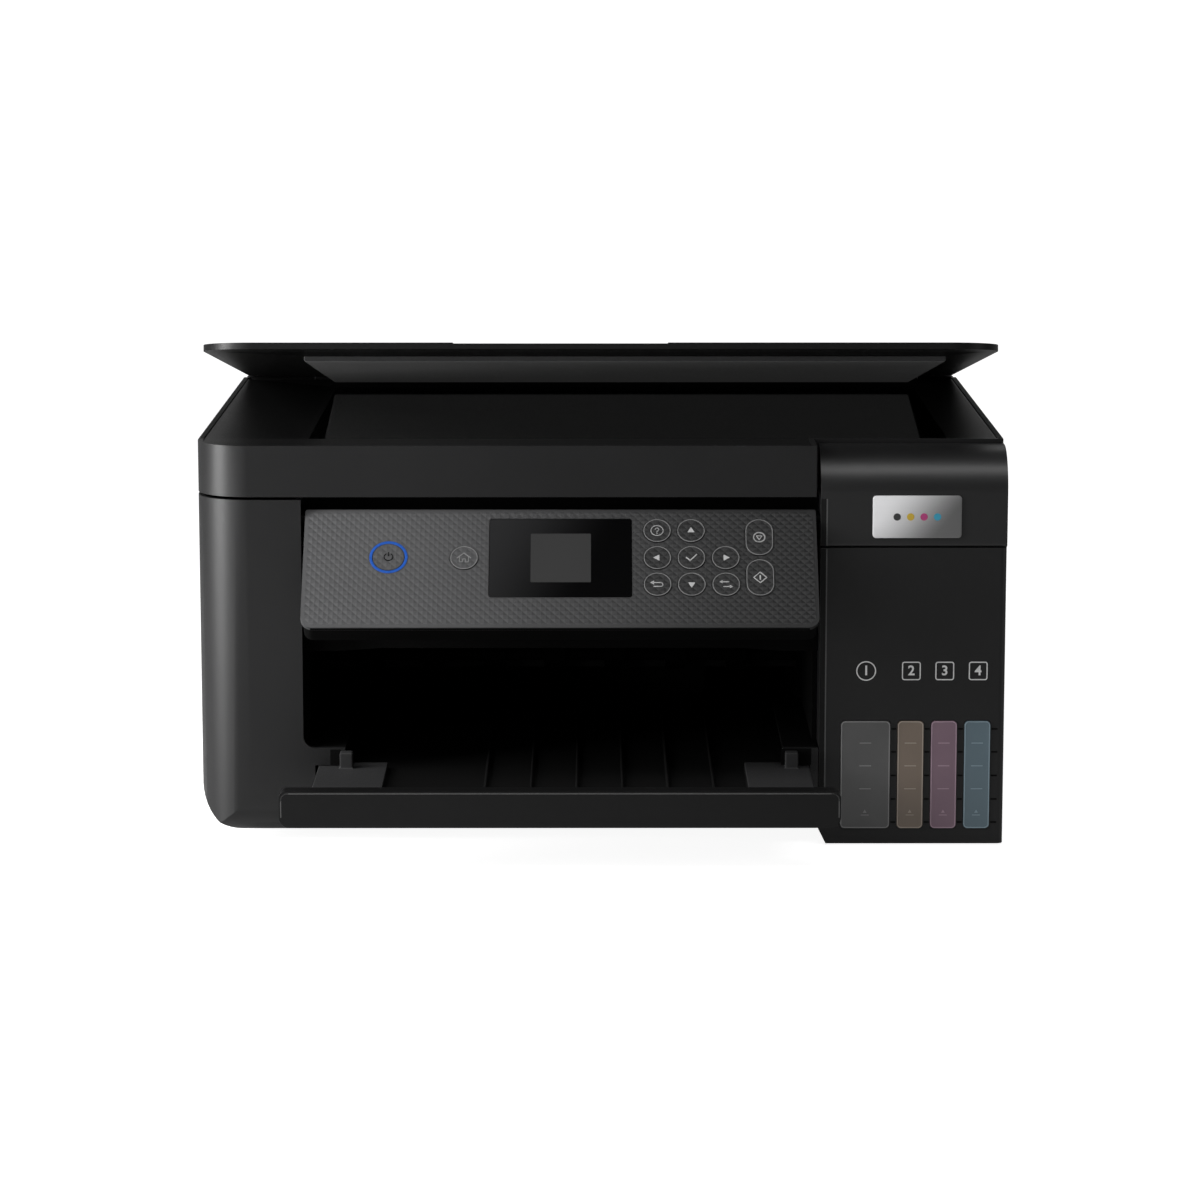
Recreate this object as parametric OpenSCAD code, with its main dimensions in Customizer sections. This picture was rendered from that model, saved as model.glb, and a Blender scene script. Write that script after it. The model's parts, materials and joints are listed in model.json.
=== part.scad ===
// Inkjet printer with refillable ink tanks: a flatbed scanner and lid on top, a tilting control
// panel over the output bay, a sliding output tray and a paper feeder at the back.
// X runs left to right, Y front to back and Z up, in millimetres.

/* [Whole] */
// Width of the body
body_w = 375; // [370:1:390]
// Depth of the body, front face to back
body_d = 347; // [345:1:360]
// Height of the scanner rim above the table
rim_z = 188; // [187:0.5:192]
// Radius of the upright front corners
corner_r = 25; // [18:1:28]
// Radius of the upright back corners
back_r = 6; // [6:1:14]
// Wall of the casings
wall = 2.5; // [2.2:0.1:2.8]
// Running clearance between pieces
fit = 0.3; // [0.3:0.05:0.4]

/* [Lower case] */
// Height of the feet
foot_h = 4.7; // [4:0.1:6]
// Radius of the feet
foot_r = 9; // [6:0.5:11]
// Top of the lower case
case_top = 162.9; // [162:0.1:163]
// Gap between the lower case and the scanner unit
seam = 1.4; // [1.2:0.1:1.6]
// Width of the left front column
column_w = 49.2; // [46:0.1:52]
// Radius of the bottom side edges
keel_r = 24; // [18:1:26]
// Radius of the bottom front edge
sill_r = 18; // [12:1:20]
// Bottom of the output opening
bay_z = 46.5; // [45:0.5:48]
// Width of the ledge at each end of the output opening
ledge_w = 19.3; // [17:0.1:21]
// Thickness of the bottom pan
pan_t = 3; // [2:0.5:4]

/* [Output bay] */
// Bottom edge of the band above the opening
band_z = 91.3; // [90.5:0.1:91.5]
// Height of the band
band_h = 6.7; // [5:0.1:8]
// How far the band lies behind the front face
band_y = 13.6; // [13.4:0.1:15]
// Depth of the output bay
bay_d = 125; // [120:1:128]

/* [Control panel] */
// Gap at each end of the panel
panel_gap = 1.9; // [1.7:0.1:2.4]
// Length of the panel face, top edge to bottom edge
panel_l = 64.9; // [64:0.1:65]
// Thickness of the whole panel
panel_t = 12; // [10:0.5:12]
// Thickness of the face plate
face_t = 2.2; // [1.8:0.1:2.6]
// Depth of the hinge axis behind the front of the body
panel_axis_y = 4; // [3.8:0.1:4.2]
// Height of the hinge axis
panel_axis_z = 153.7; // [153:0.1:154]
// Distance of the axis from the face and from the top edge
panel_edge = 3; // [2.8:0.1:3.2]
// Tilt of the panel as it stands, from upright
panel_tilt = 43; // [0:1:55]
// Radius of the panel's corners
panel_r = 5.5; // [3:0.5:7]
// Radius of the round buttons
button_r = 6.3; // [5.5:0.1:6.6]
// Radius of the power button
power_r = 7.2; // [6.5:0.1:7.5]
// Width of the tall buttons
pill_w = 12.6; // [11.5:0.1:13]
// Height of the tall buttons
pill_h = 19.8; // [18:0.1:20.5]
// How far a button stands out of the face
button_lift = 0.25; // [0.2:0.05:0.5]
// Depth of a button behind the face
button_t = 3; // [2.8:0.1:3.2]
// How far a button travels
button_travel = 0.6; // [0.4:0.1:0.7]
// Width of the display window
window_w = 65.2; // [62:0.1:67]
// Height of the display window
window_h = 43.1; // [40:0.1:45]
// Width of the screen behind the window
lcd_w = 27.6; // [25:0.1:36]
// Height of the screen behind the window
lcd_h = 26.8; // [24:0.1:30]

/* [Ink tanks] */
// Width of the tank unit
tank_unit_w = 86.2; // [84:0.1:88]
// Depth of the tank unit
tank_unit_d = 120; // [110:1:122]
// Seam between the tank unit and its cover
cover_z = 140.6; // [139:0.1:142]
// Height of the tank unit above the table
tank_lift = 1; // [0.8:0.1:1.5]
// Bottom of the tank windows
glass_z = 8.4; // [7:0.1:9]
// Height of the tank windows
glass_h = 50.9; // [48:0.1:53]
// How far the tank windows stand out of the front
glass_lift = 0.6; // [0.3:0.1:0.9]
// Length of the tanks, front to back
tank_l = 98; // [80:1:105]
// Top of the tanks
tank_top = 112; // [105:1:114]
// Width of the black tank's window
black_w = 22.9; // [21:0.1:24]
// Width of a colour tank's window
colour_w = 12; // [11:0.1:12.4]
// Gap between the windows
tank_gap = 3.5; // [3.2:0.1:4]
// Height of the deck under the ink caps
deck_z = 114.5; // [114.3:0.1:117]
// Radius of a filler neck
neck_r = 4; // [3.5:0.1:4.3]
// Thickness of an ink cap
cap_t = 5; // [4:0.5:7]
// Depth of the tank cover
cover_d = 25; // [24:0.5:25]
// Radius of the cover's top front edge
cover_r = 20; // [14:1:21]
// Radius of the cover's bottom edge, round its hinge
cover_hinge_r = 1.7; // [1.5:0.1:2]

/* [Scanner] */
// Back of the scanner unit
scanner_d = 285; // [284.6:0.1:285.4]
// Top of the scanner glass
platen_z = 184; // [183.5:0.1:184]
// Thickness of the scanner glass
platen_t = 2.3; // [2:0.1:3]
// Distance of the glass opening from the left side
platen_side = 53; // [51:0.5:54]
// Width of the glass opening
platen_w = 297; // [295:1:298]
// Front edge of the glass opening
platen_y = 50; // [48:1:52]
// Depth of the glass opening
platen_d = 216; // [214:1:218]
// Width of the scan bar
scan_bar_w = 18; // [14:1:22]
// Height of the scan bar
scan_bar_h = 6.5; // [5:0.5:8]

/* [Lid] */
// How far the lid stands open, in degrees
lid_open = 9; // [0:0.5:70]
// Inset of the lid from the body at each side
lid_side = 2.5; // [1:0.5:4.5]
// Front edge of the closed lid
lid_y = 6; // [4:0.5:8]
// Thickness of the lid's edge
lid_t = 3; // [2.6:0.1:4]
// Width of the finger recess in the lid's front edge
grip_w = 99; // [80:1:120]
// Depth of the lid's hinge axis
lid_axis_y = 283; // [282.9:0.1:283]
// Height of the lid's hinge axis
lid_axis_z = 184; // [183.8:0.1:184.2]
// Thickness of the document mat
mat_t = 2.4; // [2:0.1:2.5]

/* [Output tray] */
// How far the lip stands out of the front
lip_out = 57; // [52:1:60]
// Depth of the lip
lip_d = 10; // [8:0.5:12]
// Height of the lip
lip_h = 16.7; // [14:0.1:18]
// How far the lip reaches past each side of the output opening
lip_over = 7.5; // [6:0.1:9]
// Gap at the left of the tray
tray_gap_left = 6.8; // [6:0.1:8]
// Gap at the right of the tray
tray_gap_right = 4; // [3.8:0.1:5]
// Top of the tray
tray_z = 38; // [37.5:0.1:38]
// Thickness of the tray
tray_t = 5; // [4:0.5:5]
// Length of the tray behind the lip
tray_l = 247; // [230:1:250]
// Depth of the recess in the tray
recess_t = 3; // [2:0.5:3.5]
// Width of the shoulder beside the recess
shoulder_w = 32; // [28:0.5:34]
// Length of the shoulder from the tray's front end
shoulder_l = 55; // [50:1:60]

/* [Mechanism] */
// Diameter of the guide rail
rail_dia = 9; // [7:0.5:10]
// Width of the carriage
carriage_w = 90; // [80:1:95]
// Height of the carriage
carriage_h = 55; // [45:1:58]
// Radius of the feed roller
feed_r = 7; // [5:0.5:7.5]
// Radius of the feed gear
feed_gear_r = 20; // [16:0.5:20]
// Radius of the motor pinion
pinion_r = 6; // [5:0.5:7]
// Radius of the belt pulleys
pulley_r = 6; // [5:0.5:7]
// Radius of the pickup roller
pickup_r = 14; // [10:0.5:15]
// Radius of the output rollers
output_r = 7.5; // [6:0.5:8]
// Thickness of the steel sheet
sheet_t = 1.5; // [1.2:0.1:2]

/* [Rear feeder] */
// Front of the rear feeder
feeder_y = 293; // [292:0.5:294]
// Top of the rear feeder
feeder_z = 186; // [184:0.5:186]
// Distance of the paper slot from the left side
slot_side = 62.5; // [60:0.5:64]
// Width of the paper slot
slot_w = 220; // [217:1:222]
// Width of the paper support
support_w = 70; // [50:1:90]
// Length of the paper support
support_l = 91; // [80:1:95]

/* [Hidden] */
$fn = 64;
e = 0.01;
xl = -body_w / 2;
xr = body_w / 2;
y_front = -(body_d - lip_out) / 2;
tank_x = xr - tank_unit_w;
column_x = xl + column_w;
bay_x = tank_x - fit;
lid_w = body_w - 2 * lid_side;
panel_x = column_x + panel_gap;
panel_w = bay_x - panel_gap - panel_x;
panel_mid = panel_x + panel_w / 2;
lip_x = column_x - lip_over;
lip_w = bay_x + lip_over - lip_x;
tray_x = column_x + tray_gap_left;
tray_w = bay_x - tray_gap_right - tray_x;
platen_x = xl + platen_side;
slot_x = xl + slot_side;
path_mid = slot_x + slot_w / 2;
scan_z = case_top + seam;
pan_z = foot_h + wall;
pan_top = pan_z + pan_t;
cover_y = cover_d + 1;
fascia_x = tank_x - 2;
face_y = panel_axis_y - panel_edge;
panel_top = panel_axis_z + panel_edge;
slot_z = tray_z - tray_t - 6.3;
frame_left = xl + 16;
frame_right = tank_x - 2.8;
frame_y = 207;
rail_y = 196;
rail_z = 112;
feed_y = 216;
feed_z = 68;
pinion_y = feed_y + (feed_gear_r + pinion_r + fit) * cos(30);
pinion_z = feed_z + (feed_gear_r + pinion_r + fit) * sin(30);
gear_x = frame_left - 10;
gear_t = 6;
belt_z = 138;
drive_x = frame_left + 21.5;
idler_x = frame_right - 18.5;
belt_t = 1.2;
pin_r = 1.6;
pickup_y = 306;
pickup_z = 128;
output_y = 136;
output_z = 66;
head_z = 78;
bed_z = 58;
bed_t = 6;
carriage_x = frame_right - 96.5;
carriage_y = 148;
recess_z = tray_z - recess_t;
tray_y = lip_d - lip_out + 0.5;
mat_z = platen_z + 0.4;
lid_z = rim_z + 0.4;
inner_fit = 0.2;
slot_y = 298;
slot_d = 24;
support_y = 331;
support_t = 4;
support_x = path_mid - 5 - support_w / 2;
tray_end = tray_y + tray_l;
inlet_x = path_mid + 35;
inlet_w = 28;
inlet_z = 20;
inlet_h = 22;
board_x = xl + 22.5;
port_x = board_x + 15;
port_w = 12;
port_z = 60;
port_h = 11;
button_gap = fit;

// Centres of the buttons, from the panel's middle and down its face from the top edge
BUTTONS = [[-78.7, 26.6], [-44.1, 27], [44.4, 12], [60, 12], [44.4, 27], [60, 27],
           [75.7, 27], [44.4, 41.6], [60, 41.6], [75.7, 41.6], [91.3, 15.7], [91.3, 37.9]];
power_i = 0;
stop_i = 10;
window_x = panel_mid - 32.5;
window_v = 5.3;
lcd_x = window_x + 18.9;
lcd_v = 13.4;

// Left edge of each tank window, and its width
TANK_W = [black_w, colour_w, colour_w, colour_w];
TANK_X = [for (i = [0:3]) tank_x + 10.2 + (i > 0 ? black_w + tank_gap + (i - 1) * (colour_w + tank_gap) : 0)];
cap_y = 40;
cap_axis_y = cap_y + 12;
cap_barrel_r = 2;
cap_axis_z = deck_z + wall + fit + cap_barrel_r;

// ---- shared shapes ----

// Puts a piece drawn from the body's front face into the part's own frame
module machine() translate([0, y_front, 0]) children();

// Box between two corners
module block(x0, x1, y0, y1, z0, z1)
    translate([x0, y0, z0]) cube([x1 - x0, y1 - y0, z1 - z0]);

// Rectangle between two corners, each corner with its own radius: bottom left, bottom right, top right, top left
module panel2d(x0, x1, y0, y1, r)
    difference() {
        translate([x0, y0]) square([x1 - x0, y1 - y0]);
        corner_cut(x0, y0, r[0], 1, 1);
        corner_cut(x1, y0, r[1], -1, 1);
        corner_cut(x1, y1, r[2], -1, -1);
        corner_cut(x0, y1, r[3], 1, -1);
    }

// What a round corner leaves out of a square one
module corner_cut(x, y, r, sx, sy)
    if (r > 0)
        difference() {
            translate([sx > 0 ? x - 1 : x - r, sy > 0 ? y - 1 : y - r]) square(r + 1);
            translate([x + sx * r, y + sy * r]) circle(r);
        }

// Upright prism of a plan outline
module upright(z0, z1) translate([0, 0, z0]) linear_extrude(z1 - z0) children();

// Prism along Y of an outline drawn in X and Z
module along_y(y0, y1) translate([0, y1, 0]) rotate([90, 0, 0]) linear_extrude(y1 - y0) children();

// Prism along X of an outline drawn in Y and Z
module along_x(x0, x1) translate([x0, 0, 0]) rotate([90, 0, 90]) linear_extrude(x1 - x0) children();

// Rods along each axis, by their middle line
module rod_x(x0, x1, y, z, r) translate([x0, y, z]) rotate([0, 90, 0]) cylinder(h = x1 - x0, r = r);
module rod_y(y0, y1, x, z, r) translate([x, y0, z]) rotate([-90, 0, 0]) cylinder(h = y1 - y0, r = r);
module rod_z(z0, z1, x, y, r) translate([x, y, z0]) cylinder(h = z1 - z0, r = r);

// Gear along X: a disc with square tooth gaps round its rim
module gear_x(x0, t, y, z, r, teeth, gap)
    difference() {
        rod_x(x0, x0 + t, y, z, r);
        for (i = [0:teeth - 1])
            translate([x0 - 1, y, z]) rotate([i * 360 / teeth, 0, 0])
                translate([0, r - gap, -gap / 2]) cube([t + 2, gap * 2, gap]);
    }

// Turns what is drawn upright to the panel's tilt
module tilt_panel()
    translate([0, panel_axis_y, panel_axis_z]) rotate([-panel_tilt, 0, 0])
        translate([0, -panel_axis_y, -panel_axis_z]) children();

// Turns what is drawn closed to the lid's open angle
module open_lid()
    translate([0, lid_axis_y, lid_axis_z]) rotate([-lid_open, 0, 0])
        translate([0, -lid_axis_y, -lid_axis_z]) children();

// ---- lower body ----

module base_pan()
    color("#1c1c1e") machine() {
        rail_w = 7.8;
        side = xl + keel_r + 0.5;
        difference() {
            union() {
                block(side, bay_x - fit, sill_r + 2, body_d - 12, pan_z, pan_top);
                block(bay_x - 5, -side, tank_unit_d + fit + 3, body_d - 12, pan_z, pan_top);
                for (x = [tray_x - 1, tray_x + tray_w + 1 - rail_w])
                    block(x, x + rail_w, sill_r + 2, tray_end, pan_top - e, tray_z - tray_t - 3.8);
            }
            for (x = [path_mid - 45, path_mid + 15, path_mid + 75], y = [60, 110])
                rod_z(pan_z - 1, pan_top + 1, x, y, 6);
        }
    }

module case_plan(inset)
    panel2d(xl + inset, xr - inset, inset, body_d - inset,
        [corner_r - inset, corner_r - inset, back_r - inset, back_r - inset]);

module lower_case()
    color("#2b2b2d") machine() difference() {
        intersection() {
            upright(foot_h, case_top) case_plan(0);
            along_y(-1, body_d + 1)
                panel2d(xl, xr, foot_h, case_top + 40, [keel_r, keel_r, 0, 0]);
            along_x(xl - 1, xr + 1)
                panel2d(0, body_d, foot_h, case_top + 40, [sill_r, back_r, 0, 0]);
        }
        intersection() {
            upright(foot_h + wall, case_top + 1) case_plan(wall);
            along_y(-1, body_d + 1)
                panel2d(xl + wall, xr - wall, foot_h + wall, case_top + 40,
                    [keel_r - wall, keel_r - wall, 0, 0]);
            along_x(xl - 1, xr + 1)
                panel2d(wall, body_d - wall, foot_h + wall, case_top + 40,
                    [sill_r - wall, back_r - wall, 0, 0]);
        }
        // room for the pan inside its flange
        block(xl + keel_r + 6, bay_x - 6, sill_r + 8, body_d - 18, 0, pan_z + 1);
        block(bay_x - 7, xr - keel_r - 6, tank_unit_d + 9, body_d - 18, 0, pan_z + 1);
        // room for the tank unit
        block(bay_x, xr + 1, -1, tank_unit_d + fit, 0, case_top + 1);
        // output opening, open to the top where the control panel sits
        along_y(-1, wall + 1)
            panel2d(column_x, bay_x + 10, bay_z, case_top + 1, [panel_r, 0, 0, 0]);
        // way for the tray, and the gap between the ledges
        block(tray_x - 1.5, tray_x + tray_w + fit, -1, wall + 1, slot_z, tray_z + fit);
        block(column_x + ledge_w, bay_x - ledge_w + 3, -1, wall + 1, slot_z, bay_z + 1);
        // sockets at the back
        block(port_x - fit, port_x + port_w + fit, body_d - wall - 1, body_d + 1,
            port_z - fit, port_z + port_h + fit);
        block(inlet_x - fit, inlet_x + inlet_w + fit, body_d - wall - 1, body_d + 1,
            inlet_z - fit, inlet_z + inlet_h + fit);
    }

FEET = [[xl + 47.5, 50, pan_z], [xl + 47.5, body_d - 47, pan_z], [xr - 47.5, body_d - 47, pan_z],
        [xr - 37.5, 50, tank_lift]];

module feet()
    color("#141414") machine()
        for (f = FEET) rod_z(0, f[2], f[0], f[1], foot_r);

module output_bay()
    color("#101011") machine() {
        back = band_y + 3;
        right = bay_x;
        left = column_x;
        top = band_z + band_h;
        post = 2;
        difference() {
            union() {
                // band over the opening, lower at its ends
                along_y(band_y, back + e)
                    polygon([[left, band_z - 1.4], [left + 16, band_z - 1.4], [left + 36, band_z],
                        [right - 36, band_z], [right - 16, band_z - 1.4], [right, band_z - 1.4],
                        [right, top], [left, top]]);
                // ceiling and the wall behind the control panel
                block(left, right, back, bay_d, band_z, band_z + wall);
                block(left, right, back, back + wall, band_z, case_top - fit);
                // hinge lugs of the control panel
                block(left, panel_x - fit, panel_axis_y, back + e, panel_axis_z - post, panel_axis_z + post);
                block(panel_x + panel_w + fit, right, panel_axis_y, back + e,
                    panel_axis_z - post, panel_axis_z + post);
                rod_x(left, panel_x - fit, panel_axis_y, panel_axis_z, post);
                rod_x(panel_x + panel_w + fit, right, panel_axis_y, panel_axis_z, post);
                // side walls and ledges
                block(left - wall, left + e, wall + fit, bay_d, bay_z - wall, band_z + wall);
                block(left - e, left + ledge_w, wall + fit, bay_d, bay_z - wall, bay_z);
                block(right - post, right, back + 3, bay_d, bay_z - wall, band_z + wall);
                block(right - ledge_w + 3, right - e, wall + fit, bay_d, bay_z - wall, bay_z);
            }
            rod_x(left - 1, right + 1, panel_axis_y, panel_axis_z, 1 + fit);
        }
    }

// ---- control panel, drawn upright with its face to the front ----

module panel_pin(x0, x1) rod_x(x0, x1, panel_axis_y, panel_axis_z, 1);

// Outline of one button on the face, in X and Z
module button_outline(i, grow)
    translate([panel_mid + BUTTONS[i][0], panel_top - BUTTONS[i][1]])
        if (i < stop_i) {
            circle((i == power_i ? power_r : button_r) + grow);
        } else {
            w = pill_w / 2 + grow;
            h = pill_h / 2 + grow;
            panel2d(-w, w, -h, h, [w - 1, w - 1, w - 1, w - 1]);
        }

module window_outline(grow)
    panel2d(window_x - grow, window_x + window_w + grow,
        panel_top - window_v - window_h - grow, panel_top - window_v + grow, [1, 1, 1, 1]);

module panel_face()
    color("#3a3a3c") machine() tilt_panel() along_y(face_y, face_y + face_t)
        difference() {
            panel2d(panel_x, panel_x + panel_w, panel_top - panel_l, panel_top,
                [panel_r, panel_r, 1, 1]);
            for (i = [0:len(BUTTONS) - 1]) button_outline(i, button_gap);
            window_outline(inner_fit);
        }

module panel_housing()
    color("#1d1d1f") machine() tilt_panel() {
        x0 = panel_x + 1;
        x1 = panel_x + panel_w - 1;
        z0 = panel_top - panel_l + 1;
        z1 = panel_top - 0.5;
        front = face_y + face_t;
        well = face_y + button_t + button_travel + 0.4;
        difference() {
            union() {
                along_y(front, face_y + panel_t)
                    panel2d(x0, x1, z0, z1, [panel_r - 1, panel_r - 1, 1, 1]);
                panel_pin(panel_x - 1.6, x0 + 1);
                panel_pin(x1 - 1, panel_x + panel_w + 1.2);
            }
            // wells behind the buttons, and the seat of the display
            for (i = [0:len(BUTTONS) - 1])
                along_y(front - 1, well) button_outline(i, button_gap);
            along_y(front - 1, face_y + 7) window_outline(inner_fit);
            // hollow back
            along_y(face_y + 8.5, face_y + panel_t + 1)
                panel2d(x0 + wall, x1 - wall, z0 + wall, z1 - 9, [2, 2, 2, 2]);
        }
    }

module display_window()
    color("#08080a") machine() tilt_panel()
        along_y(face_y + 0.1, face_y + 1.6) window_outline(0);

module lcd_screen()
    color("#77797c") machine() tilt_panel()
        along_y(face_y + 1.6, face_y + 7)
            translate([lcd_x, panel_top - lcd_v - lcd_h]) square([lcd_w, lcd_h]);

module button(i)
    color("#2e2e30") machine() tilt_panel()
        along_y(face_y - button_lift, face_y + button_t) button_outline(i, 0);

module button_power() button(0);
module button_home() button(1);
module button_help() button(2);
module button_up() button(3);
module button_left() button(4);
module button_ok() button(5);
module button_right() button(6);
module button_back() button(7);
module button_down() button(8);
module button_menu() button(9);
module button_stop() button(10);
module button_start() button(11);

// ---- ink tanks ----

// Outline of a tank window, in X and Z
module tank_outline(i, grow)
    panel2d(TANK_X[i] - grow, TANK_X[i] + TANK_W[i] + grow, glass_z - grow, glass_z + glass_h + grow,
        [2, 2, 2, 2]);

function tank_mid(i) = TANK_X[i] + TANK_W[i] / 2;

module tank_housing()
    color("#272729") machine() {
        deck_top = deck_z + wall;
        ear_r = 2.2;
        ear_x = 2.5 + fit;
        ear_t = 1.5;
        foot_cut = 3.5;
        difference() {
            union() {
                difference() {
                    union() {
                        upright(tank_lift, cover_z)
                            panel2d(tank_x, xr, 0, tank_unit_d, [0, 3, 0, 0]);
                        upright(cover_z - 1, case_top - fit)
                            panel2d(tank_x, xr, cover_y, tank_unit_d, [0, 0, 0, 0]);
                    }
                    // inside, below and above the deck
                    block(tank_x + wall, xr - wall, wall, tank_unit_d - wall, tank_lift + wall, deck_z);
                    block(tank_x + wall, xr - wall, wall, tank_unit_d - wall, deck_top, case_top + 1);
                    block(tank_x + wall, xr - wall, wall, cover_y + wall, deck_top, case_top + 1);
                    // chamfer at the bottom left
                    along_y(-1, tank_unit_d + 1)
                        polygon([[tank_x - 1, tank_lift - 1], [tank_x + foot_cut, tank_lift - 1],
                            [tank_x + foot_cut, tank_lift], [tank_x, tank_lift + 7], [tank_x - 1, tank_lift + 7]]);
                    // windows and necks
                    for (i = [0:3]) {
                        along_y(-1, wall + 1) tank_outline(i, inner_fit);
                        rod_z(deck_z - 1, deck_top + 1, tank_mid(i), cap_y, neck_r + fit);
                        rod_y(tank_unit_d - wall - 1, tank_unit_d + 1, tank_mid(i), 20, 2);
                    }
                }
                // ears that hold the cap hinges
                for (i = [0:3], s = [-1, 1]) {
                    x = tank_mid(i) + s * (ear_x + ear_t / 2) - ear_t / 2;
                    block(x, x + ear_t, cap_axis_y - ear_r, cap_axis_y + ear_r, deck_top - e, cap_axis_z);
                    rod_x(x, x + ear_t, cap_axis_y, cap_axis_z, ear_r);
                }
            }
            for (i = [0:3])
                rod_x(tank_mid(i) - ear_x - ear_t - 1, tank_mid(i) + ear_x + ear_t + 1,
                    cap_axis_y, cap_axis_z, 1 + inner_fit);
        }
    }

module tank(i, shade)
    color(shade) machine() difference() {
        union() {
            along_y(-glass_lift, wall + fit + e) tank_outline(i, 0);
            block(TANK_X[i] - 0.8, TANK_X[i] + TANK_W[i] + 0.8, wall + fit, wall + fit + tank_l,
                tank_lift + wall, tank_top);
            rod_z(tank_top - e, deck_z + wall + 1.2, tank_mid(i), cap_y, neck_r);
        }
        rod_z(tank_top - 20, deck_z + wall + 3, tank_mid(i), cap_y, neck_r - 1.2);
    }

module tank_black() tank(0, "#2a2a2a");
module tank_yellow() tank(1, "#4d4636");
module tank_magenta() tank(2, "#493a44");
module tank_cyan() tank(3, "#36464a");

module cap(i, shade)
    color(shade) machine() {
        z = deck_z + wall + 1.2 + fit;
        r = neck_r + 1.6;
        arm_w = 4.6;
        rod_z(z, z + cap_t, tank_mid(i), cap_y, r);
        block(tank_mid(i) - arm_w / 2, tank_mid(i) + arm_w / 2, cap_y, cap_axis_y, z + 0.6, z + 2.8);
        rod_x(tank_mid(i) - 2.5, tank_mid(i) + 2.5, cap_axis_y, cap_axis_z, cap_barrel_r);
        rod_x(tank_mid(i) - 4.2, tank_mid(i) + 4.2, cap_axis_y, cap_axis_z, 1);
    }

module cap_black() cap(0, "#1a1a1a");
module cap_yellow() cap(1, "#b59a2a");
module cap_magenta() cap(2, "#8c2f5e");
module cap_cyan() cap(3, "#2a7f96");

// Cover profile in Y and Z, round at the hinge and at the top
module cover_profile(inset)
    panel2d(inset, cover_d + (inset > 0 ? 1 : 0), cover_z + fit - (inset > 0 ? 1 : 0), rim_z - 2 - inset,
        [inset > 0 ? 0 : cover_hinge_r, 0, 0, cover_r - inset]);

module tank_cover()
    color("#272729") machine() difference() {
        along_x(tank_x, xr) cover_profile(0);
        along_x(tank_x + wall, xr - wall) cover_profile(wall);
    }

module ink_tubes()
    color("#3f3f42") machine() {
        joint_y = tank_unit_d + 20;
        joint_x = tank_mid(0) - 8;
        difference() {
            block(joint_x, tank_mid(3) + 7, joint_y, joint_y + 10, pan_top, 27);
            block(xr - keel_r - 1, xr, joint_y - 1, joint_y + 11, 0, 18);
        }
        for (i = [0:3])
            rod_y(wall + fit + tank_l, joint_y + e, tank_mid(i), 20, 1.7);
    }

// ---- print mechanism ----

module main_frame()
    color("#9a9c9f") machine() difference() {
        top = belt_z + 12;
        union() {
            for (x = [frame_left - sheet_t, frame_right])
                block(x, x + sheet_t, output_y - 10, pickup_y + 16, pan_top, top - 4);
            block(frame_left - sheet_t, frame_right + sheet_t, frame_y, frame_y + sheet_t,
                head_z + 10, top);
            block(frame_left - sheet_t, frame_right + sheet_t, frame_y - 12, frame_y + sheet_t,
                top - e, top + sheet_t);
            rod_y(rail_y + 1, frame_y + e, idler_x, belt_z, pin_r);
        }
        rod_y(frame_y - 1, frame_y + sheet_t + 1, drive_x, belt_z, pin_r + 2);
        rod_x(xl, frame_left + 1, feed_y, feed_z, 4 + fit);
        rod_x(frame_right - 1, frame_right + 5, feed_y, feed_z, 4 + fit);
        rod_x(xl, frame_left + 1, pinion_y, pinion_z, pin_r + 1);
        rod_x(xl, frame_left + 1, pickup_y, pickup_z, 4 + fit);
        rod_x(frame_right - 1, frame_right + 5, pickup_y, pickup_z, 4 + fit);
        rod_x(xl, frame_left + 1, output_y, output_z, 3 + fit);
        rod_x(frame_right - 1, frame_right + 5, output_y, output_z, 3 + fit);
    }

module guide_rail()
    color("#c8c9cb") machine() rod_x(frame_left, frame_right, rail_y, rail_z, rail_dia / 2);

module platen()
    color("#18181a") machine() {
        back = frame_y - 2;
        block(frame_left, frame_right, carriage_y - 2, back, bed_z, bed_z + bed_t);
        for (x = [frame_left + 8 : 14 : carriage_x - 12])
            block(x, x + 2, carriage_y, back - 2, bed_z + bed_t - e, head_z - 4);
    }

module capping_station()
    color("#202022") machine() {
        z = bed_z + bed_t;
        rim = 4;
        front = carriage_y + 2;
        back = rail_y + 4;
        difference() {
            block(carriage_x + 6, frame_right - 4, front, back, z, head_z - 1.4);
            block(carriage_x + 6 + rim, frame_right - 4 - rim, front + rim, back - rim, head_z - 6, head_z);
        }
        block(carriage_x + 20, carriage_x + 60, front + 10, back - 10, head_z - 6 - e, head_z - 0.6);
    }

module drive_motors()
    color("#8d8f92") machine() {
        rod_y(frame_y + sheet_t, frame_y + 30, drive_x, belt_z, 12);
        rod_y(rail_y + 1, frame_y + sheet_t + e, drive_x, belt_z, pin_r);
        rod_x(frame_left, frame_left + 30, pinion_y, pinion_z, 17);
        rod_x(gear_x, frame_left + e, pinion_y, pinion_z, pin_r);
    }

module belt_loop(r)
    union() {
        translate([drive_x, belt_z]) circle(r);
        translate([idler_x, belt_z]) circle(r);
        translate([drive_x, belt_z - r]) square([idler_x - drive_x, 2 * r]);
    }

module timing_belt()
    color("#161616") machine() along_y(rail_y + 2, rail_y + 7)
        difference() {
            belt_loop(pulley_r + inner_fit + belt_t);
            belt_loop(pulley_r + inner_fit);
        }

module pulley(x)
    color("#b9babc") machine() difference() {
        rod_y(rail_y + 1.5, rail_y + 7.5, x, belt_z, pulley_r);
        rod_y(rail_y, rail_y + 9, x, belt_z, pin_r + inner_fit);
    }

module drive_pulley() pulley(drive_x);
module idler_pulley() pulley(idler_x);

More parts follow.
